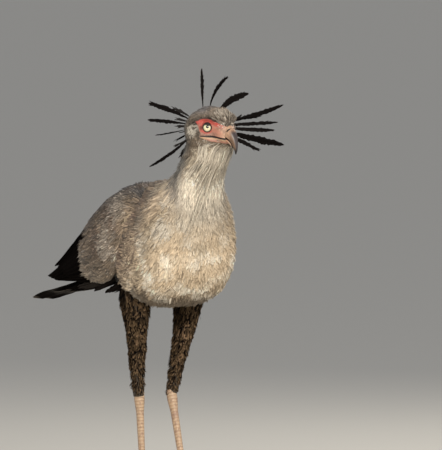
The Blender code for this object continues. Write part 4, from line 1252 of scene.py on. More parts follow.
def dress_thighs():
    """Short black-brown feathers down each thigh to the heel."""
    draw = np.random.default_rng(34)
    for name, sign in SIGNS.items():
        cover = Cover(thigh_surface(sign), thigh_away, unwrap_thigh(sign), 1)
        p, a = scatter(cover.surface, 0.2, len(THIGH) - 1.35, 0.0, math.tau, amount(5500), draw)
        count = len(p)
        slim = 1.0 - 0.5 * smooth(2.0, len(THIGH) - 1.0, p)
        length = draw.uniform(0.012, 0.022, count) * slim
        width = draw.uniform(0.0012, 0.0026, count) * slim
        turn = draw.normal(0.0, 0.22, count)
        lift = draw.uniform(-0.001, 0.0014, count) + stray(count, draw, 0.04, 0.003)
        speckle = draw.random(count)
        cloud = patches(cover.surface(p, a), 0.030, 61)
        warm = smooth(1.0, 2.4, p + 0.8 * cloud) * 0.9
        tint = painted(np.broadcast_to(BLACK, (count, 3)), [
            (UMBER, warm * smooth(0.1, 0.8, speckle)),
            (THIGH_WARM, warm * smooth(0.80, 0.95, speckle) * 0.8),
        ])
        soft_coat("plumage_thigh_" + name, cover, (p, a), tint, length, width, turn, lift,
                  np.full(count, THIGH_DEPTH), draw, pale=0.05, columns=3,
                  bright=0.1, made=BLACK_MATERIAL)


# Places along a covert and along a long feather, and how many points each has across
VANE_SHARES = np.array([0.0, 0.18, 0.40, 0.62, 0.80, 0.92, 1.0])
LONG_SHARES = np.linspace(0.0, 1.0, 15)
VANE_COLUMNS = 7


def vane_colours(base, fringe, shaft, shares, fringe_width, columns=VANE_COLUMNS):
    """Colours across and along vanes: shaft line in the middle, fringe at the rim."""
    across = np.abs(np.linspace(-1.0, 1.0, columns))[None, None, :]
    t = shares[None, :, None]
    near_rim = np.maximum(across, smooth(0.80, 1.0, t) * np.ones_like(across))
    rim = np.broadcast_to(smooth(1.0 - fringe_width, 1.0, near_rim), (len(base), len(shares), columns))
    line = np.broadcast_to(smooth(0.16, 0.02, across), rim.shape)
    colours = mix(base[:, None, None, :], fringe[:, None, None, :], rim)
    return mix(colours, shaft[:, None, None, :], line)


def wing_marking(y, share):
    """Colour of each covert of the wing: brown-grey, slate on the shoulder, paler low at the back."""
    count = len(y)
    points = np.stack([share * 0.25, y, np.zeros(count)], axis=-1)
    cloud = patches(points, 0.060, 50)
    fine = patches(points, 0.020, 51)
    broad = patches(points, 0.105, 53)
    pale = smooth(0.25, 0.85, broad + 0.35 * fine) * smooth(0.12, 0.30, share)
    low_back = smooth(0.55, 0.85, share + 0.08 * fine) * smooth(0.02, 0.12, y)
    base = painted(np.broadcast_to(WING_GREY, (count, 3)), [
        (SLATE, smooth(0.42, 0.16, share + 0.08 * cloud) * 0.85),
        (BACK_BROWN, smooth(0.0, 0.8, -cloud) * 0.7),
        (SLATE, smooth(0.2, 0.9, fine) * 0.5),
        (COVERT_PALE, pale * 0.6),
        (COVERT_TAN, low_back * 0.45),
    ])
    base = base * (0.68 + 0.32 * smooth(0.30, 0.52, share))[:, None]
    # Darker low at the rear: partly the black feathers there, partly painted shade on the wing's lower side
    base = base * (1.0 - 0.35 * smooth(0.72, 0.92, share) * smooth(0.05, 0.13, y))[:, None]
    front = smooth(-0.01, -0.05, y) * smooth(0.40, 0.60, share)
    return mix(base, mix(TAN, CREAM, np.full(count, 0.35)), front * 0.75)


# Coverts: the rows' y from the rear one to the front one, the step between them, the number in a full row,
# and how far their roots lie under the wing's surface
COVERT_ROWS = (0.176, -0.066)
COVERT_STEP = 0.0070
COVERTS_IN_ROW = 30
COVERT_SINK = 0.0040
WISP_SINK = 0.002


def covert_end(share):
    """How far back the grey-brown coverts grow at each height of the wing."""
    return 0.180 - 0.085 * smooth(0.70, 0.97, share)


def grown(y, share):
    """1 where coverts grow and 0 behind them."""
    return np.where(y < covert_end(share), 1.0, 0.0)


def plume_weight(y, share):
    """Where the long plumes grow: over the rear edge of the coverts."""
    return smooth(covert_end(share) - 0.075, covert_end(share) - 0.02, y) * grown(y, share)


def unwrap_wing(y, share):
    """The UVs of a wing's small feathers."""
    return np.stack([share, (y + 0.10) * 1.4], axis=-1)


def covert_roots(draw):
    """Roots of the coverts in rows, each row set between the feathers of the next."""
    rows_y = []
    rows_share = []
    for index, y in enumerate(np.arange(*COVERT_ROWS, -COVERT_STEP)):
        number = int(COVERTS_IN_ROW - 8 * smooth(-0.02, -0.07, y))
        shares = (np.arange(number) + 0.5 * (index % 2) + draw.uniform(-0.35, 0.35, number)) / number
        rows_share.append(0.03 + 0.94 * shares)
        rows_y.append(y + draw.uniform(-0.005, 0.005, number))
    y = np.concatenate(rows_y)
    share = np.clip(np.concatenate(rows_share), 0.02, 0.98)
    kept = y < covert_end(share)
    return y[kept], share[kept]


def dress_coverts(name, cover, draw):
    """The wing's coverts in overlapping rows, some with pale fringes or shafts."""
    y, share = covert_roots(draw)
    count = len(y)
    length = (0.030 + 0.040 * smooth(-0.02, 0.15, y)) * draw.uniform(0.75, 1.2, count)
    width = (0.0050 + 0.0030 * smooth(-0.02, 0.12, y)) * draw.uniform(0.75, 1.15, count)
    turn = draw.normal(0.0, 0.08, count) + 0.15 * patches(cover.surface(y, share), 0.05, 52)
    rise = COVERT_SINK + draw.uniform(-0.0008, 0.0016, count)
    height = -COVERT_SINK + rise[:, None] * VANE_SHARES[None, :] ** 0.7
    centres, normals, sideways = lie(cover, y, share, length, turn, VANE_SHARES[None, :], height)
    base = wing_marking(y, share) * np.clip(1.0 + draw.normal(0.0, 0.20, (count, 1)), 0.5, 1.6)
    pick = draw.random((count, 1))
    fringe = np.clip(base * np.where(pick < 0.35, draw.uniform(1.5, 2.3, (count, 1)), 1.15), 0.0, 0.75)
    pick = draw.random(count)
    shaft = np.where((pick < 0.28)[:, None], mix(base, PALE, np.full(count, 0.55)), base * 0.5)
    colours = vane_colours(base, fringe, shaft, VANE_SHARES, 0.25)
    widths = width[:, None] * profile(VANE_SHARES[None, :], 0.45, 0.45, 0.25)
    arrays = feather_mesh(centres, normals, sideways, widths, colours, unwrap_wing(y, share), draw,
                          VANE_COLUMNS, camber=0.22, fray=0.5)
    add_piece("plumage_coverts_" + name, arrays, VANE_MATERIAL)


def dress_wisps(name, cover, draw):
    """Hair-like feathers over the coverts."""
    count = amount(5500)
    y, share = scatter(cover.surface, -0.070, 0.176, 0.03, 0.97, count, draw, grown)
    length = draw.uniform(0.022, 0.044, count) * (1.0 + 0.8 * smooth(0.06, 0.16, y))
    width = draw.uniform(0.0005, 0.0015, count)
    lift = draw.uniform(0.0004, 0.0022, count) + stray(count, draw, 0.03, 0.003)
    turn = draw.normal(0.0, 0.10, count)
    soft_coat("plumage_wisps_" + name, cover, (y, share), wing_marking(y, share), length, width, turn, lift,
              np.full(count, WISP_SINK), draw, made=VANE_MATERIAL, pale=0.5,
              columns=3, each=6, pull=0.7, tuft_lift=0.0008, bright=0.10, dark=0.20, gain=2.0, uneven=0.14)


def dress_plumes(name, cover, draw):
    """Long soft feathers from the rear coverts out over the black flight feathers."""
    count = amount(700)
    y, share = scatter(cover.surface, 0.050, 0.182, 0.05, 0.97, count, draw, plume_weight)
    length = draw.uniform(0.055, 0.115, count) * (0.7 + 0.3 * smooth(0.1, 0.5, share))
    width = draw.uniform(0.0018, 0.0042, count)
    turn = draw.normal(0.0, 0.08, count)
    lift = draw.uniform(0.0005, 0.0030, count)
    soft_coat("plumage_plumes_" + name, cover, (y, share), wing_marking(y, share), length, width, turn, lift,
              np.full(count, WISP_SINK), draw, made=VANE_MATERIAL, pale=0.6,
              columns=5, each=5, pull=0.5, tuft_lift=0.0010, bright=0.25, dark=0.20, gain=1.6, uneven=0.12)


def dress_wing(name):
    """One folded wing: coverts, hair-like feathers, plumes and the long black feathers."""
    sign = SIGNS[name]
    draw = np.random.default_rng(35 if name == "right" else 36)
    cover = Cover(wing_surface(sign), wing_away(sign), unwrap_wing, 2)
    dress_coverts(name, cover, draw)
    dress_wisps(name, cover, draw)
    dress_plumes(name, cover, draw)
    dress_flight(name, sign, cover, draw)


# Tiers of flight feathers: name, root y, tip y of the first and last, share of the first and last,
# count, half width, lift of the tips over the wing's surface and lift added from each to the next
FLIGHT = [
    ("primaries", 0.185, 0.512, 0.450, 0.42, 0.90, 8, 0.0095, -0.0030, 0.0004),
    ("secondaries", 0.130, 0.487, 0.330, 0.08, 0.92, 15, 0.0120, 0.0002, 0.0006),
    ("tertials", 0.110, 0.330, 0.240, 0.06, 0.40, 6, 0.0130, 0.0024, 0.0004),
]
SHINGLE = math.radians(6.0)
FLIGHT_SINK = 0.0035
# How far a shaft's middle stands over its blade's
SHAFT_RISE = 0.0003


def across_blade(centres, normal):
    """Directions across a blade that runs along centres and faces normal."""
    return unit(np.cross(unit(np.gradient(centres, axis=0)), normal))


def blade_colours(tone, edge, shaft, shares, fringe_width=0.3):
    """Colours of one long feather."""
    return vane_colours(tone[None], edge[None], shaft[None], shares, fringe_width)[0]


def closed_vane(centres, normals, sideways, widths, colours, base_uv, draw, thickness=0.0006, camber=0.12,
                columns=VANE_COLUMNS, notch=0.10):
    """One long feather's blade, thin and closed, with a notched rim."""
    rows = len(centres)
    across = np.linspace(-1.0, 1.0, columns)
    ragged = np.ones((rows, columns))
    ragged[:, 0] -= draw.random(rows) * notch
    ragged[:, -1] -= draw.random(rows) * notch
    offset = widths[:, None] * across[None] * ragged
    dip = -camber * widths[:, None] * across[None] ** 2
    sheet = centres[:, None] + sideways[:, None] * offset[..., None] + normals[:, None] * dip[..., None]
    slim = thickness * (1.0 - 0.7 * across ** 2)[None, :, None] / 2.0
    upper = sheet + normals[:, None] * slim
    lower = (sheet - normals[:, None] * slim)[:, ::-1]
    points = np.concatenate([upper, lower], axis=1).reshape(-1, 3)
    faces = grid_faces(rows, columns * 2)
    ends = []
    for row in (0, rows - 1):
        start = row * columns * 2
        for column in range(columns - 1):
            quad = (start + column, start + column + 1, start + 2 * columns - 2 - column,
                    start + 2 * columns - 1 - column)
            ends.append(quad if row else quad[::-1])
    faces = np.concatenate([faces, np.array(ends)])
    tints = np.concatenate([colours, colours[:, ::-1] * 0.9], axis=1).reshape(-1, 3)
    t = np.repeat(np.linspace(-1.0, 1.0, rows), columns * 2)
    s = np.tile(np.concatenate([across, across[::-1]]), rows)
    uvs = np.asarray(base_uv)[None] + FEATHER_UV * np.stack([s, t], axis=-1)
    return points, faces, tints, uvs


def shaft_tube(centres, normals, radius, colour, base_uv, sides=5):
    """A tapered quill along the feather, half sunk in its blade."""
    rows = len(centres)
    ahead = unit(np.gradient(centres, axis=0))
    side = unit(np.cross(ahead, normals))
    size = radius * (1.0 - 0.8 * np.linspace(0.0, 1.0, rows))
    angle = np.linspace(0.0, math.tau, sides, endpoint=False)
    points = (centres[:, None] + side[:, None] * (np.cos(angle)[None, :, None] * size[:, None, None])
              + normals[:, None] * (np.sin(angle)[None, :, None] * size[:, None, None]))
    tints = np.broadcast_to(colour, (rows * sides, 3))
    uvs = np.broadcast_to(base_uv, (rows * sides, 2))
    return points.reshape(-1, 3), grid_faces(rows, sides), tints, uvs


def dress_flight(name, sign, cover, draw):
    """The long black feathers of the folded wing, each over the one below it."""
    parts = []
    surface = cover.surface
    for _, y_root, tip_top, tip_low, share_top, share_low, number, half, lift, layer in FLIGHT:
        for index in range(number):
            part = index / (number - 1)
            share = share_top + (share_low - share_top) * part
            y_tip = tip_top + (tip_low - tip_top) * part + draw.uniform(-0.005, 0.005)
            y = y_root + (y_tip - y_root) * LONG_SHARES
            shares = np.full_like(y, share) + draw.uniform(-0.004, 0.004) * LONG_SHARES
            rise = lift + FLIGHT_SINK + layer * (number - 1 - index)
            height = -FLIGHT_SINK + rise * LONG_SHARES ** 0.8
            normal, _, _ = normals_of(surface, y, shares, 0.004, 0.02, cover.away(y, shares))
            centres = surface(y, shares) + normal * height[:, None]
            tilt = SHINGLE * sign
            normal = unit(normal * math.cos(tilt) - across_blade(centres, normal) * math.sin(tilt))
            widths = half * profile(LONG_SHARES, 0.55, 0.55, 0.12)
            tone = np.array(BLACK) * draw.uniform(0.4, 1.1)
            edge = mix(tone, FLIGHT_EDGE, np.array(0.5))
            colours = blade_colours(tone, edge, tone * 1.6, LONG_SHARES, 0.25)
            base_uv = (share, (y_root + 0.12) * 1.4)
            parts.append(closed_vane(centres, normal, across_blade(centres, normal), widths, colours,
                                     base_uv, draw))
            parts.append(shaft_tube(centres + normal * SHAFT_RISE, normal, 0.0008, tone * 1.5, base_uv))
    add_piece("flight_feathers_" + name, joined(parts), BLACK_MATERIAL, ["wing_" + name])


TAIL_ROWS = np.array([(0.0, y, z) for y, z in TAIL_LINE])
TAIL_ROOT = 0.235
# Rise of the top feather over the tail's line, step from each feather to the next, roll of the long pair
TAIL_TOP = 0.004
TAIL_LAYER = 0.0013
TAIL_ROLL = 0.55


def tail_line(y):
    """Height of the tail's middle feathers at y."""
    return spline(TAIL_ROWS, row_place(TAIL_ROWS[:, 1], y))[..., 2]


def dress_tail():
    """The tail's feathers in pairs, the long middle pair on top, and the coverts round their roots."""
    draw = np.random.default_rng(37)
    parts = []
    for pair, (y_tip, spread, half) in enumerate(TAIL_PAIRS):
        for sign in (-1, 1):
            level = TAIL_TOP - TAIL_LAYER * (pair * 2 + (0 if sign < 0 else 1))
            x_root = sign * (0.002 + 0.0022 * pair)
            y = TAIL_ROOT + (y_tip - TAIL_ROOT) * LONG_SHARES
            x = x_root + (sign * spread - x_root) * LONG_SHARES
            lift = level * (0.8 + 0.2 * LONG_SHARES)
            centres = np.stack([x, y, tail_line(y) + lift], axis=-1) + PLACE
            roll = (TAIL_ROLL if pair == 0 else 0.0) * LONG_SHARES ** 2
            normal = np.stack([np.sin(roll), np.zeros_like(roll), np.cos(roll)], axis=-1)
            widths = half * profile(LONG_SHARES, 0.4, 0.6, 0.12)
            tone = np.array(BLACK) * draw.uniform(0.9, 1.8)
            colours = blade_colours(tone, tone * 2.0, tone * 1.5, LONG_SHARES)
            t = LONG_SHARES[:, None]
            if pair == 0:
                colours = mix(colours, TAIL_GREY, np.broadcast_to(smooth(0.80, 0.72, t), colours.shape[:2]))
            white = np.broadcast_to(smooth(0.970, 0.985, t), colours.shape[:2])
            colours = mix(colours, TAIL_TIP, white)
            base_uv = (0.5 + x_root, TAIL_ROOT)
            parts.append(closed_vane(centres, normal, across_blade(centres, normal), widths, colours,
                                     base_uv, draw))
            parts.append(shaft_tube(centres + normal * SHAFT_RISE, normal, 0.0010, tone * 1.5, base_uv))
    parts += tail_coverts(draw)
    add_piece("tail_feathers", joined(parts), BLACK_MATERIAL, ["tail"])


def tail_coverts(draw):
    """Feathers over and under the tail's root, pale above, closed blades in four short rows on each face."""
    parts = []
    t = LONG_SHARES[::2]
    for face in (-1.0, 1.0):
        for row in range(4):
            for place in np.linspace(-1.0, 1.0, 7 + row % 2):
                y_root = 0.215 + 0.016 * row
                y_tip = 0.300 + 0.026 * row + draw.uniform(-0.008, 0.008)
                y = y_root + (y_tip - y_root) * t
                x = place * (0.014 + 0.010 * t)
                far = 0.030 * (1.0 - t) ** 1.2 + 0.0045 + 0.0012 * (3 - row)
                sag = (0.012 if face < 0 else 0.0) * t
                z = tail_line(y) + face * far - sag - 0.005 * place ** 2 * face
                centres = np.stack([x, y, z], axis=-1) + PLACE
                normal = np.broadcast_to(unit(np.array([0.25 * place, 0.0, face])), centres.shape)
                widths = 0.0075 * profile(t, 0.5, 0.6, 0.15)
                tone = np.array(RUMP_PALE if face > 0 else UNDER_TAIL) * draw.uniform(0.7, 1.1)
                colours = blade_colours(tone, tone * 1.25, tone * 0.7, t)
                parts.append(closed_vane(centres, normal, across_blade(centres, normal), widths, colours,
                                         (0.5 + x[0], y_root), draw))
    return parts


def dress_vent():
    """Soft black feathers that hang between the thighs and the tail, under the folded wings."""
    draw = np.random.default_rng(44)
    parts = []
    t = LONG_SHARES
    for row in range(3):
        for place in np.linspace(-1.0, 1.0, 9 - row):
            y_root = 0.085 + 0.040 * row
            y_tip = 0.250 + 0.062 * row - 0.020 * abs(place) + draw.uniform(-0.012, 0.012)
            x = place * (0.040 - 0.006 * row) * (1.0 - 0.25 * t)
            top = 0.604 + 0.004 * row
            z = top + (0.560 + 0.002 * row + draw.uniform(-0.007, 0.007) - top) * t ** 0.8
            centres = np.stack([x, y_root + (y_tip - y_root) * t, z], axis=-1) + PLACE
            normal = np.broadcast_to(unit(np.array([0.5 * place, 0.0, -1.0])), centres.shape)
            widths = 0.0080 * profile(t, 0.5, 0.55, 0.12)
            tone = np.array(BLACK) * draw.uniform(0.9, 3.0)
            colours = blade_colours(tone, tone * 2.0, tone * 1.4, t)
            parts.append(closed_vane(centres, normal, across_blade(centres, normal), widths, colours,
                                     (0.5 + x[0], y_root), draw, notch=0.35))
    add_piece("plumage_vent", joined(parts), BLACK_MATERIAL)


def loose_barbs(centres, normals, sideways, widths, tone, base_uv, draw):
    """Narrow barbs that leave a long feather's rim towards its tip and make it ragged."""
    parts = []
    t = np.linspace(0.0, 1.0, 6)
    for _ in range(9):
        row = int(draw.uniform(0.40, 0.86) * len(centres))
        side = draw.choice((-1.0, 1.0))
        ahead = unit(centres[row] - centres[row - 1])
        lean = draw.uniform(0.18, 0.34)
        heading = ahead * math.cos(lean) + sideways[row] * (side * math.sin(lean))
        reach = min(widths[row] * draw.uniform(0.9, 1.25) / math.sin(lean), 0.016)
        line = centres[row] + heading * (reach * t)[:, None] + ahead * (reach * 0.15 * t ** 2)[:, None]
        normal = np.broadcast_to(normals[row], line.shape)
        slim = 0.0011 * profile(t, 0.7, 0.4, 0.15)
        colours = np.broadcast_to(tone, (len(t), 3, 3))
        parts.append(closed_vane(line, normal, across_blade(line, normal), slim, colours, base_uv, draw,
                                 thickness=0.0004, camber=0.1, columns=3, notch=0.2))
    return parts


def crest_facing(ahead, sideways, roll):
    """The direction that a crest feather's flat side faces."""
    facing = head_vector(1.0, 0.15 * math.copysign(1.0, sideways), 0.1)
    if abs(float(ahead @ unit(facing))) > 0.7:
        facing = UP + np.cross(ahead, UP) * 0.3
    angle = math.radians(roll)
    return (facing * math.cos(angle) + np.cross(ahead, facing) * math.sin(angle)
            + ahead * (ahead @ facing) * (1.0 - math.cos(angle)))


def dress_crest():
    """The long crest feathers: notched blades on shafts, narrow at the foot and broad near the tip."""
    draw = np.random.default_rng(38)
    centre = head_place(*CREST_ROOT) + PLACE
    shares = np.linspace(0.0, 1.0, 44)
    rows = [(tip, 1.0, 0.0) for tip in CREST]
    for _ in range(12):
        tip = CREST[draw.integers(3, len(CREST))]
        scale = draw.uniform(0.40, 0.62)
        rows.append((tip, scale, draw.uniform(-0.012, 0.012)))
    parts = []
    for (forward, sideways, z, half, bend, roll), scale, aside in rows:
        full_size = scale == 1.0
        tip = head_place(forward, sideways, z) + PLACE
        tip = centre + (tip - centre) * scale + np.array([0.0, 0.006, aside]) * (not full_size)
        ahead = unit(tip - centre)
        root = centre + ahead * CREST_SINK
        facing = crest_facing(ahead, sideways, roll)
        sweep = unit(np.cross(ahead, facing))
        curve = bend * 4.0 * shares * (1.0 - shares)
        centres = root + (tip - root) * shares[:, None] + sweep * curve[:, None]
        normal = np.broadcast_to(unit(facing), centres.shape)
        side_way = across_blade(centres, normal)
        widths = half * (1.1 if full_size else 0.6) * profile(shares, 0.16, 0.66, 0.10)
        tone = np.array(BLACK) * draw.uniform(0.8, 2.0) if full_size else np.array(CREST_SMALL)
        colours = blade_colours(tone, tone * 1.8, tone * 0.6, shares)
        foot = np.broadcast_to(smooth(0.16, 0.02, shares)[:, None], colours.shape[:2])
        colours = mix(colours, CREST_FOOT, foot * 0.8)
        base_uv = (0.5 + 0.3 * sideways, 0.5 + 0.3 * (z - 0.95))
        parts.append(closed_vane(centres, normal, side_way, widths, colours, base_uv, draw,
                                 thickness=0.0005, camber=0.18, notch=0.42))
        parts.append(shaft_tube(centres, normal, 0.0007, tone * 1.3, base_uv))
        parts += loose_barbs(centres, normal, side_way, widths, tone, base_uv, draw)
    add_piece("crest_feathers", joined(parts), BLACK_MATERIAL)


# Bill and eyes
def bill_part(rows, wide, count, sides):
    """Points of a bill's half from its stations, with each point's place and angle."""
    side = head_vector(0.0, 1.0, 0.0)
    table = []
    for f1, z1, f2, z2, half in rows:
        table.append((*head_place(f1, 0.0, z1), *head_place(f2, 0.0, z2), *side, half, wide, 0.2))
    p, a = ring_grid(np.linspace(0.0, len(rows) - 1.000001, count), sides)
    points = egg(spline(np.array(table), p), a) + PLACE
    return points, p, a


# Nostril: its middle (forward, z), half length, half height, depth and slant down towards the tip
NOSTRIL = (0.0704, 0.9468)
NOSTRIL_LENGTH = 0.0052
NOSTRIL_HEIGHT = 0.0020
NOSTRIL_DEPTH = 0.0022
NOSTRIL_SLANT = math.radians(54.0)


def nostril_share(points):
    """How deep each point of the bill lies in a nostril, from 0 to 1."""
    forward, _, z = in_head(points)
    ahead = forward - NOSTRIL[0]
    rise = z - NOSTRIL[1]
    along = ahead * math.cos(NOSTRIL_SLANT) + rise * math.sin(NOSTRIL_SLANT)
    over = -ahead * math.sin(NOSTRIL_SLANT) + rise * math.cos(NOSTRIL_SLANT)
    return smooth(1.15, 0.75, np.hypot(along / NOSTRIL_LENGTH, over / NOSTRIL_HEIGHT))


def dress_upper_bill():
    """The hooked upper bill with its cere, nostrils, dark ridge and tip."""
    points, p, a = bill_part(BILL_UPPER, wide=0.8, count=130, sides=150)
    slit = nostril_share(points)
    _, sideways, _ = in_head(points)
    press = np.sign(sideways) * slit * NOSTRIL_DEPTH
    points = points - head_vector(0.0, 1.0, 0.0) * press[..., None]
    mottle = patches(points, 0.006, 70)
    rise = np.cos(a)
    # A painted highlight along each side of the ridge
    ridge_highlight = smooth(0.35, 0.60, rise) * smooth(0.85, 0.60, rise) * smooth(1.8, 2.8, p)
    colours = painted(CERE, [
        (BILL_BROWN, smooth(0.4, 1.8, p + 0.4 * mottle)),
        (BILL_DARK, smooth(1.3, 2.6, p + 0.3 * mottle)),
        (RIDGE_GREY, smooth(0.55, 0.95, rise) * smooth(0.9, 2.0, p)),
        (RIDGE_HIGHLIGHT, ridge_highlight * 0.35),
        (BILL_TIP, smooth(4.0, 5.4, p)),
        (NOSTRIL_BLACK, slit),
        # Painted shade on the lower sides and underside, where the lower bill meets them
        (BILL_GAP_SHADE, smooth(-0.34, -0.52, rise) * smooth(0.5, 1.2, p)),
        (BILL_GAP_SHADE, smooth(-0.58, -0.76, rise)),
    ])
    uvs = np.stack([a / math.tau, p / len(BILL_UPPER)], axis=-1)
    arrays = close_ends(points, grid_faces(*p.shape), colours, uvs)
    add_piece("bill_top", arrays, HORN_MATERIAL, ["bill_upper"])


def dress_lower_bill():
    """The lower bill, pink at its root."""
    points, p, a = bill_part(BILL_LOWER, wide=0.2, count=40, sides=40)
    colours = painted(LOWER_PINK, [
        (LOWER_BROWN, smooth(0.3, 2.0, p)),
        (LOWER_TIP, smooth(2.6, 3.8, p)),
        (BILL_GAP_SHADE, smooth(0.25, 0.50, np.cos(a))),
    # Painted shade on the top, under the upper bill
    ])
    uvs = np.stack([a / math.tau, p / len(BILL_LOWER)], axis=-1)
    arrays = close_ends(points, grid_faces(*p.shape), colours, uvs)
    add_piece("bill_bottom", arrays, HORN_MATERIAL, ["bill_lower"])


def close_ends(points, faces, colours, uvs):
    """Flatten the arrays of a tube and fill its two ends with quads that meet in the middle."""
    rows, sides = points.shape[:2]
    middles = []
    end_faces = []
    for row in (0, rows - 1):
        index = rows * sides + len(middles)
        middles.append(row)
        for step in range(0, sides, 2):
            quad = (row * sides + step, row * sides + step + 1, row * sides + (step + 2) % sides, index)
            end_faces.append(quad if row else quad[::-1])
    closed = [np.concatenate([array.reshape(-1, array.shape[-1]), array[middles].mean(axis=1)])
              for array in (points, colours, uvs)]
    return closed[0], np.concatenate([faces, np.array(end_faces)]), closed[1], closed[2]


def dress_eyeball(name, centre):
    """An eyeball with pupil, pale streaked iris, dark rim and the shade of the upper lid."""
    side = math.cos(LOOK_UP) * math.sin(LOOK) * SIGNS[name]
    look = head_vector(math.cos(LOOK_UP) * math.cos(LOOK), side, math.sin(LOOK_UP))
    across = unit(np.cross(look, UP))
    rise = np.cross(across, look)
    polar = np.concatenate([np.linspace(0.0, 1.0, 44), np.linspace(1.05, math.pi, 20)])
    t, w = ring_grid(polar, EYE_SIDES)
    out = (look * np.cos(t)[..., None] + across * (np.sin(t) * np.cos(w))[..., None]
           + rise * (np.sin(t) * np.sin(w))[..., None])
    bulge = CORNEA_BULGE * smooth(0.70, 0.35, t)
    points = centre + out * (EYE_RADIUS + bulge)[..., None]
    radius = EYE_RADIUS * np.sin(t)
    streaks = 0.5 + 0.5 * np.sin(w * 37.0 + 3.0 * np.sin(w * 11.0))
    colours = painted(IRIS_PALE, [
        (IRIS_STREAK, streaks * 0.5),
        (IRIS_RIM, smooth(0.60, 1.0, radius / IRIS_RADIUS) * 0.6),
        (PUPIL_BLACK, smooth(PUPIL_RADIUS + 0.0003, PUPIL_RADIUS - 0.0003, radius)),
    ])
    shaded = smooth(0.15, 0.75, np.sin(w)) * smooth(0.15, 0.65, radius / IRIS_RADIUS)
    outside = np.maximum(smooth(IRIS_RADIUS - 0.0004, IRIS_RADIUS + 0.0003, radius), t > 1.1)
    colours = mix(mix(colours, colours * np.array(LID_SHADOW), shaded), EYE_RIM, outside)
    spread = 0.4 * np.sin(t / 2)
    uvs = np.stack([0.5 + spread * np.cos(w), 0.5 + spread * np.sin(w)], axis=-1)
    arrays = (points.reshape(-1, 3), grid_faces(*t.shape), colours.reshape(-1, 3),
              uvs.reshape(-1, 2))
    add_piece("eyeball_" + name, arrays, EYE_MATERIAL, ["eye_" + name])


def dress_eyes(face_points):
    """Both eyeballs and their lids, which meet the given skin."""
    for name, centre in EYES.items():
        dress_eyeball(name, centre)
        dress_lids(name, centre, GAZES[name], face_points)


# Lids: the mesh's rings and sides, how far they stand over the skin, how far their outer edge sinks into
# it, and the sharpness of the corner between the opening's arc and its upper edge
LID_RINGS = 40
LID_SIDES = 120
LID_OVER_SKIN = 0.0007
LID_SINK = 0.0018
CORNER_SHARPNESS = 2500.0
# How far round a place the skin's height is averaged
SKIN_BLUR = 0.0008
LASHES = 15
LASH_RADIUS = 0.00028


def skin_height(face_points, centre, gaze, flat):
    """Height of the skin over an eye's middle, along the gaze, at places in the plane across it."""
    near = face_points - centre
    ahead = near @ gaze
    level = near - ahead[:, None] * gaze
    close = (np.linalg.norm(level, axis=-1) < 0.021) & (ahead > -0.004) & (ahead < 0.03)
    gap = np.sum((flat.reshape(-1, 1, 3) - level[close][None]) ** 2, axis=-1)
    closeness = np.exp(-gap / (2.0 * SKIN_BLUR ** 2)) + 1e-12
    return (closeness @ ahead[close] / closeness.sum(axis=1)).reshape(flat.shape[:2])


def lid_opening(up_share, toward):
    """Radius of the lids' opening: an arc below, cut off above by a straight slanting edge."""
    edge = np.minimum(LID_HEIGHT / np.maximum(up_share + LID_SLANT * toward, 0.05), 0.05)
    both = np.exp(-OPENING_RADIUS * CORNER_SHARPNESS) + np.exp(-edge * CORNER_SHARPNESS)
    return -np.log(both) / CORNER_SHARPNESS


def lashes(points, turns, gaze, across, rise):
    """Short dark bristles along the upper lid's edge."""
    draw = np.random.default_rng(39)
    t = np.linspace(0.0, 1.0, 7)
    parts = []
    for angle in np.linspace(0.30, math.pi - 0.15, LASHES):
        turned = np.argmin(np.abs(turns - angle))
        root = points[4, turned]
        side = unit(points[10, turned] - root)
        heading = unit(side * 0.6 + rise * 0.35 + gaze * 0.55 + across * draw.normal(0.0, 0.1))
        length = draw.uniform(0.0040, 0.0062)
        centres = root + heading * (length * t)[:, None] + rise * (0.0016 * t ** 2)[:, None]
        normal = np.broadcast_to(unit(np.cross(heading, across)), centres.shape)
        parts.append(shaft_tube(centres, normal, LASH_RADIUS, LASH_BLACK, (0.5, 0.5), sides=4))
    return parts


def dress_lids(name, centre, gaze, face_points):
    """A dark rounded lid rim over the ball, the lids out to the skin, and lashes along the upper edge."""
    across = unit(np.cross(gaze, UP))
    rise = np.cross(across, gaze)
    r, w = ring_grid(np.linspace(0.0, 1.0, LID_RINGS), LID_SIDES)
    up_share = np.sin(w)
    toward = np.cos(w) * float(np.sign(across @ head_vector(1.0, 0.0, 0.0)))
    opening = lid_opening(up_share, toward)
    radius = opening + r * (LID_REACH - opening)
    flat = across * (radius * np.cos(w))[..., None] + rise * (radius * np.sin(w))[..., None]
    ball = np.sqrt(np.maximum((EYE_RADIUS + BALL_CLEARANCE) ** 2 - radius ** 2, 0.0))
    over_skin = skin_height(face_points, centre, gaze, flat) + LID_OVER_SKIN
    rim = radius - opening
    fold = np.sin(rim / 0.0016 * math.pi) * smooth(0.0020, 0.0035, rim) * smooth(0.9, 0.7, r)
    height = ball + (np.maximum(over_skin, ball) - ball) * smooth(0.0004, 0.0040, rim)
    height = height + 0.0005 * smooth(0.0, 0.0007, rim) * smooth(0.0026, 0.0012, rim)
    height = height + 0.0003 * fold - LID_SINK * smooth(0.74, 1.0, r)
    points = centre + flat + gaze * height[..., None]
    bare = smooth(0.0012, -0.0006, face_distance(points))
    edge = LID_RIM + 0.0014 * smooth(0.2, 1.0, up_share)
    colours = painted(LID_FEATHERS, [
        (face_marking(points), bare),
        (LID_BLACK, smooth(edge + 0.0008, edge - 0.0006, radius)),
    ])
    uvs = np.stack([w / math.tau, r], axis=-1)
    lid = (points.reshape(-1, 3), grid_faces(*r.shape), colours.reshape(-1, 3), uvs.reshape(-1, 2))
    parts = [lid]
    parts += lashes(points, w[0], gaze, across, rise)
    add_piece("lids_" + name, joined(parts), SKIN_MATERIAL)


# Legs
# Length of one horny plate on the shank, and of one on a toe
SCUTE = 0.0072
TOE_SCUTE = SCUTE / 1.35
# How far from the foot's middle a toe starts, and how far its round section is pressed flat on the floor
TOE_START = 0.004
TOE_PRESS = 0.0012
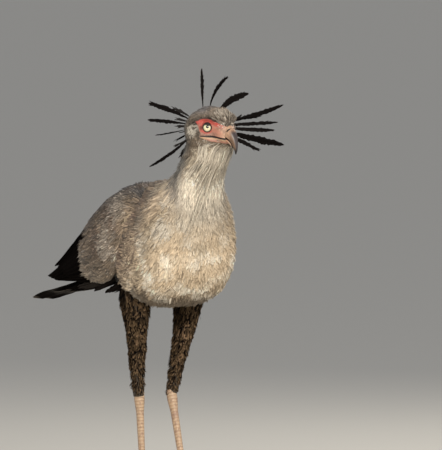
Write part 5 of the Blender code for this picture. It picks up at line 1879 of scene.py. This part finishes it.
# The foot's rounded middle: height and radius
KNUCKLE = np.array([(0.0, 0.0050), (0.004, 0.0098), (0.010, 0.0116), (0.018, 0.0101), (0.0285, 0.0084)])


def scute_wave(distance):
    """Height of overlapping plates along a leg: each rises slowly and ends in a short step."""
    phase = np.mod(distance / SCUTE, 1.0)
    return np.where(phase < 0.86, phase / 0.86, (1.0 - phase) / 0.14)


def shank_part(sign, ankle):
    """One scaled shank: overlapping plates before and behind, small cells on its sides."""
    top = np.array((sign * SHANK_TOP[0], SHANK_TOP[1], SHANK_TOP[2] + 0.012))
    foot = np.array(ankle) - np.array((0.0, 0.0, 0.004))
    rows = 420
    sides = 44
    share = np.linspace(0.0, 1.0, rows)
    table = np.array(SHANK)
    half = np.interp(share, table[:, 0], table[:, 1])
    deep = np.interp(share, table[:, 0], table[:, 2])
    length = np.linalg.norm(foot - top)
    axis = unit(foot - top)
    side = unit(SIDE - axis * (SIDE @ axis))
    front = unit(np.cross(axis, side))
    front = front * -np.sign(front[1])
    d, a = ring_grid(share * length, sides)
    ahead = np.sin(a)
    plates = smooth(-0.15, 0.25, ahead) * scute_wave(d)
    backs = smooth(0.15, -0.25, ahead) * scute_wave(d * 1.25 + 0.002 * np.sin(3.0 * a))
    cells = np.abs(np.sin(d / SCUTE * math.pi * 1.6 + 2.0 * a) * np.sin(a * 7.0 + d * 300.0))
    rough = 1.0 + 0.055 * plates + 0.035 * backs + 0.03 * cells * smooth(0.5, 0.15, np.abs(ahead))
    points = (top + axis * d[..., None] + side * (half[:, None] * np.cos(a) * rough)[..., None]
              + front * (deep[:, None] * np.sin(a) * rough)[..., None]) + PLACE
    edge = smooth(0.80, 0.98, np.mod(d / SCUTE, 1.0)) * smooth(-0.1, 0.3, ahead)
    shade = patches(points - PLACE, 0.035, 60)
    blot = patches(points - PLACE, 0.009, 62)
    colours = painted(LEG_PINK, [
        (LEG_PALE, plates * 0.65),
        (SCUTE_EDGE, edge * 0.5),
        (LEG_BACK, smooth(0.0, -0.7, ahead) * 0.5),
        (LEG_SHADE, smooth(0.1, 1.0, shade) * 0.5),
        (LEG_BLOT, smooth(0.2, 0.9, blot) * 0.55),
    ])
    uvs = np.stack([a / math.tau * 0.3 + (0.0 if sign < 0 else 0.5), d / length], axis=-1)
    return close_ends(points, grid_faces(rows, sides), colours, uvs)


def toe_part(base, heading, length, root_half):
    """One scaled toe: pads below, overlapping plates above, flat where it rests on the floor."""
    rows = 110
    sides = 28
    share = np.linspace(0.0, 1.0, rows)
    half = root_half + (TOE_END_HALF - root_half) * share
    half = half * (1.0 + 0.10 * np.cos(share * math.tau * 2.0))
    height = half * 1.05
    start = base + heading * TOE_START
    side = unit(np.cross(heading, UP))
    t, a = ring_grid(share, sides)
    close = smooth(1.0, 0.93, t) * 0.75 + 0.25
    rise = (height - TOE_PRESS)[:, None] + 0.003 * smooth(0.17, 0.0, t)
    upper = smooth(0.1, 0.6, np.sin(a))
    grain = 0.03 * (1 - upper) * np.sin(t * length * 2600.0)
    rough = 1.0 + 0.07 * upper * scute_wave(t * length * SCUTE / TOE_SCUTE) + grain
    width = half[:, None] * np.cos(a) * rough * close
    level = rise + height[:, None] * np.sin(a) * rough * close
    points = start + heading * (t * length)[..., None] + side * width[..., None] + UP * level[..., None]
    points = points + PLACE
    points[..., 2] = np.maximum(points[..., 2], 0.0)
    edge = smooth(0.78, 0.97, np.mod(t * length / TOE_SCUTE, 1.0)) * upper
    colours = painted(LEG_PINK, [
        (LEG_PALE, upper * 0.6),
        (TOE_EDGE, edge * 0.7),
        (SOLE_BROWN, (1.0 - upper) * 0.6),
    ])
    uvs = np.stack([a / math.tau, t], axis=-1)
    return close_ends(points, grid_faces(rows, sides), colours, uvs)


def knuckle_part(ankle):
    """The foot's rounded middle, where the toes come together under the shank."""
    rows = 40
    sides = 36
    z = np.linspace(KNUCKLE[0, 0], KNUCKLE[-1, 0], rows)
    radius = np.interp(z, KNUCKLE[:, 0], KNUCKLE[:, 1])
    h, a = ring_grid(z, sides)
    rough = 1.0 + 0.03 * np.sin(a * 9.0) * np.sin(h * 900.0)
    points = np.stack([ankle[0] + radius[:, None] * np.cos(a) * rough,
                       ankle[1] + radius[:, None] * 1.05 * np.sin(a) * rough, h], axis=-1) + PLACE
    colours = np.broadcast_to(mix(LEG_PINK, LEG_PALE, np.array(0.3)), points.shape)
    uvs = np.stack([a / math.tau, h * 20.0], axis=-1)
    return close_ends(points, grid_faces(rows, sides), colours, uvs)


def claw_part(start, heading):
    """A claw that curves down from the toe's end and stays clear of the floor."""
    rows = 30
    sides = 20
    t = np.linspace(0.0, 1.0, rows)
    half = 0.0036 * (1.0 - t) ** 0.7 + 0.0004
    drop = 0.0034 * t * t - 0.0012 * np.sin(math.pi * t)
    z = np.maximum(start[2] + 0.0006 - drop, half + 0.0002)
    centres = start + heading * (0.0002 + CLAW_LENGTH * t)[:, None]
    centres[:, 2] = z
    side = unit(np.cross(heading, UP))
    angle = np.linspace(0.0, math.tau, sides, endpoint=False)
    points = (centres[:, None] + side * (half[:, None] * 0.8 * np.cos(angle))[..., None]
              + UP * (half[:, None] * np.sin(angle))[..., None]) + PLACE
    colours = np.broadcast_to(mix(CLAW_ROOT, CLAW_TIP, t)[:, None], points.shape)
    uvs = np.stack(np.broadcast_arrays(angle[None] / math.tau, t[:, None]), axis=-1)
    return close_ends(points, grid_faces(rows, sides), colours, uvs)


def dress_legs():
    """Each leg's shank, foot and toes in one piece, and its claws in pieces of their own."""
    for name, sign in SIGNS.items():
        ankle = ANKLES[name]
        base = np.array((ankle[0], ankle[1], 0.0))
        parts = [shank_part(sign, ankle), knuckle_part(ankle)]
        for toe_name, angle, length, root_half in TOES:
            turn = math.radians(angle)
            heading = np.array((sign * math.sin(turn), -math.cos(turn), 0.0))
            parts.append(toe_part(base, heading, length, root_half))
            tip_height = TOE_END_HALF * 1.10 * 1.05 - TOE_PRESS
            tip = base + heading * (TOE_START + length) + UP * tip_height
            claw_node = "claw_" + toe_name + "_" + name
            add_piece(claw_node + "_horn", claw_part(tip, heading), CLAW_MATERIAL, [claw_node])
        add_piece("leg_skin_" + name, joined(parts), LEG_MATERIAL,
                  ["shank_" + name, "foot_" + name])


# Camera, floor and light
# Camera: height of the photo's frame at the bird, its middle, the direction of view and the distance
FRAME_HEIGHT = 0.99
FRAME_MIDDLE = np.array((0.1406, -0.0128, 0.7169))
AZIMUTH = math.radians(-26.0)
ELEVATION = math.radians(4.0)
DISTANCE = 30.0
SENSOR = 36.0
FLOOR_REACH = 40.0
FLOOR_COLOUR = (0.55, 0.53, 0.48, 1.0)
SKY_COLOUR = (0.93, 0.95, 1.0, 1.0)
SKY_STRENGTH = 0.46
# Lights: name, place, size, power in watts, colour; all aim at one point in the breast
LIGHTS = [
    ("key", (-1.5, -3.5, 2.5), 0.7, 174.0, (1.0, 0.95, 0.87)),
    ("fill", (2.6, -3.2, 1.6), 2.5, 26.0, (1.0, 0.96, 0.90)),
    ("rim", (2.4, 2.0, 2.6), 1.8, 50.0, (1.0, 0.94, 0.85)),
]
LIGHT_AIM = np.array((0.0, -0.1, 0.65))


def add_camera():
    """A far camera that keeps the photo's framing."""
    target = FRAME_MIDDLE + PLACE
    back = np.array((math.sin(AZIMUTH) * math.cos(ELEVATION), -math.cos(AZIMUTH) * math.cos(ELEVATION),
                     math.sin(ELEVATION)))
    data = bpy.data.cameras.new("camera")
    data.sensor_width = SENSOR
    data.lens = SENSOR * DISTANCE / FRAME_HEIGHT
    data.clip_start = 0.1
    data.clip_end = 200.0
    item = bpy.data.objects.new("camera", data)
    bpy.context.scene.collection.objects.link(item)
    item.location = target + back * DISTANCE
    item.rotation_euler = (math.pi / 2.0 - ELEVATION, 0.0, AZIMUTH)
    bpy.context.scene.camera = item


def add_light(name, location, size, power, colour):
    """A round soft light aimed at the breast."""
    data = bpy.data.lights.new(name, "AREA")
    data.shape = "DISK"
    data.size = size
    data.energy = power
    data.color = colour
    item = bpy.data.objects.new(name, data)
    bpy.context.scene.collection.objects.link(item)
    item.location = location
    item.rotation_euler = Vector(LIGHT_AIM - np.array(location)).to_track_quat("-Z", "Y").to_euler()


def add_floor():
    """A plain pale floor, which isn't part of the bird."""
    corners = [(-1.0, -1.0, 0.0), (1.0, -1.0, 0.0), (1.0, 1.0, 0.0), (-1.0, 1.0, 0.0)]
    points = np.array(corners) * FLOOR_REACH
    floor = make_mesh("floor", points, np.array([[0, 1, 2, 3]]))
    made = bpy.data.materials.new("pale_floor")
    made.use_nodes = True
    shader = made.node_tree.nodes["Principled BSDF"]
    shader.inputs["Base Color"].default_value = FLOOR_COLOUR
    shader.inputs["Roughness"].default_value = 0.9
    floor.data.materials.append(made)


def add_sky():
    """An even pale light from all sides."""
    world = bpy.data.worlds.new("studio")
    bpy.context.scene.world = world
    world.use_nodes = True
    sky = world.node_tree.nodes["Background"]
    sky.inputs["Color"].default_value = SKY_COLOUR
    sky.inputs["Strength"].default_value = SKY_STRENGTH


def add_stage():
    """The floor, the sky, the lights and true colours."""
    add_floor()
    add_sky()
    for light in LIGHTS:
        add_light(*light)
    bpy.context.scene.view_settings.view_transform = "Standard"


head_skin = dress_skin()
dress_trunk()
dress_neck()
dress_beard()
dress_head()
dress_bristles()
dress_thighs()
dress_wing("right")
dress_wing("left")
dress_tail()
dress_vent()
dress_crest()
dress_upper_bill()
dress_lower_bill()
dress_eyes(head_skin)
dress_legs()
add_camera()
add_stage()
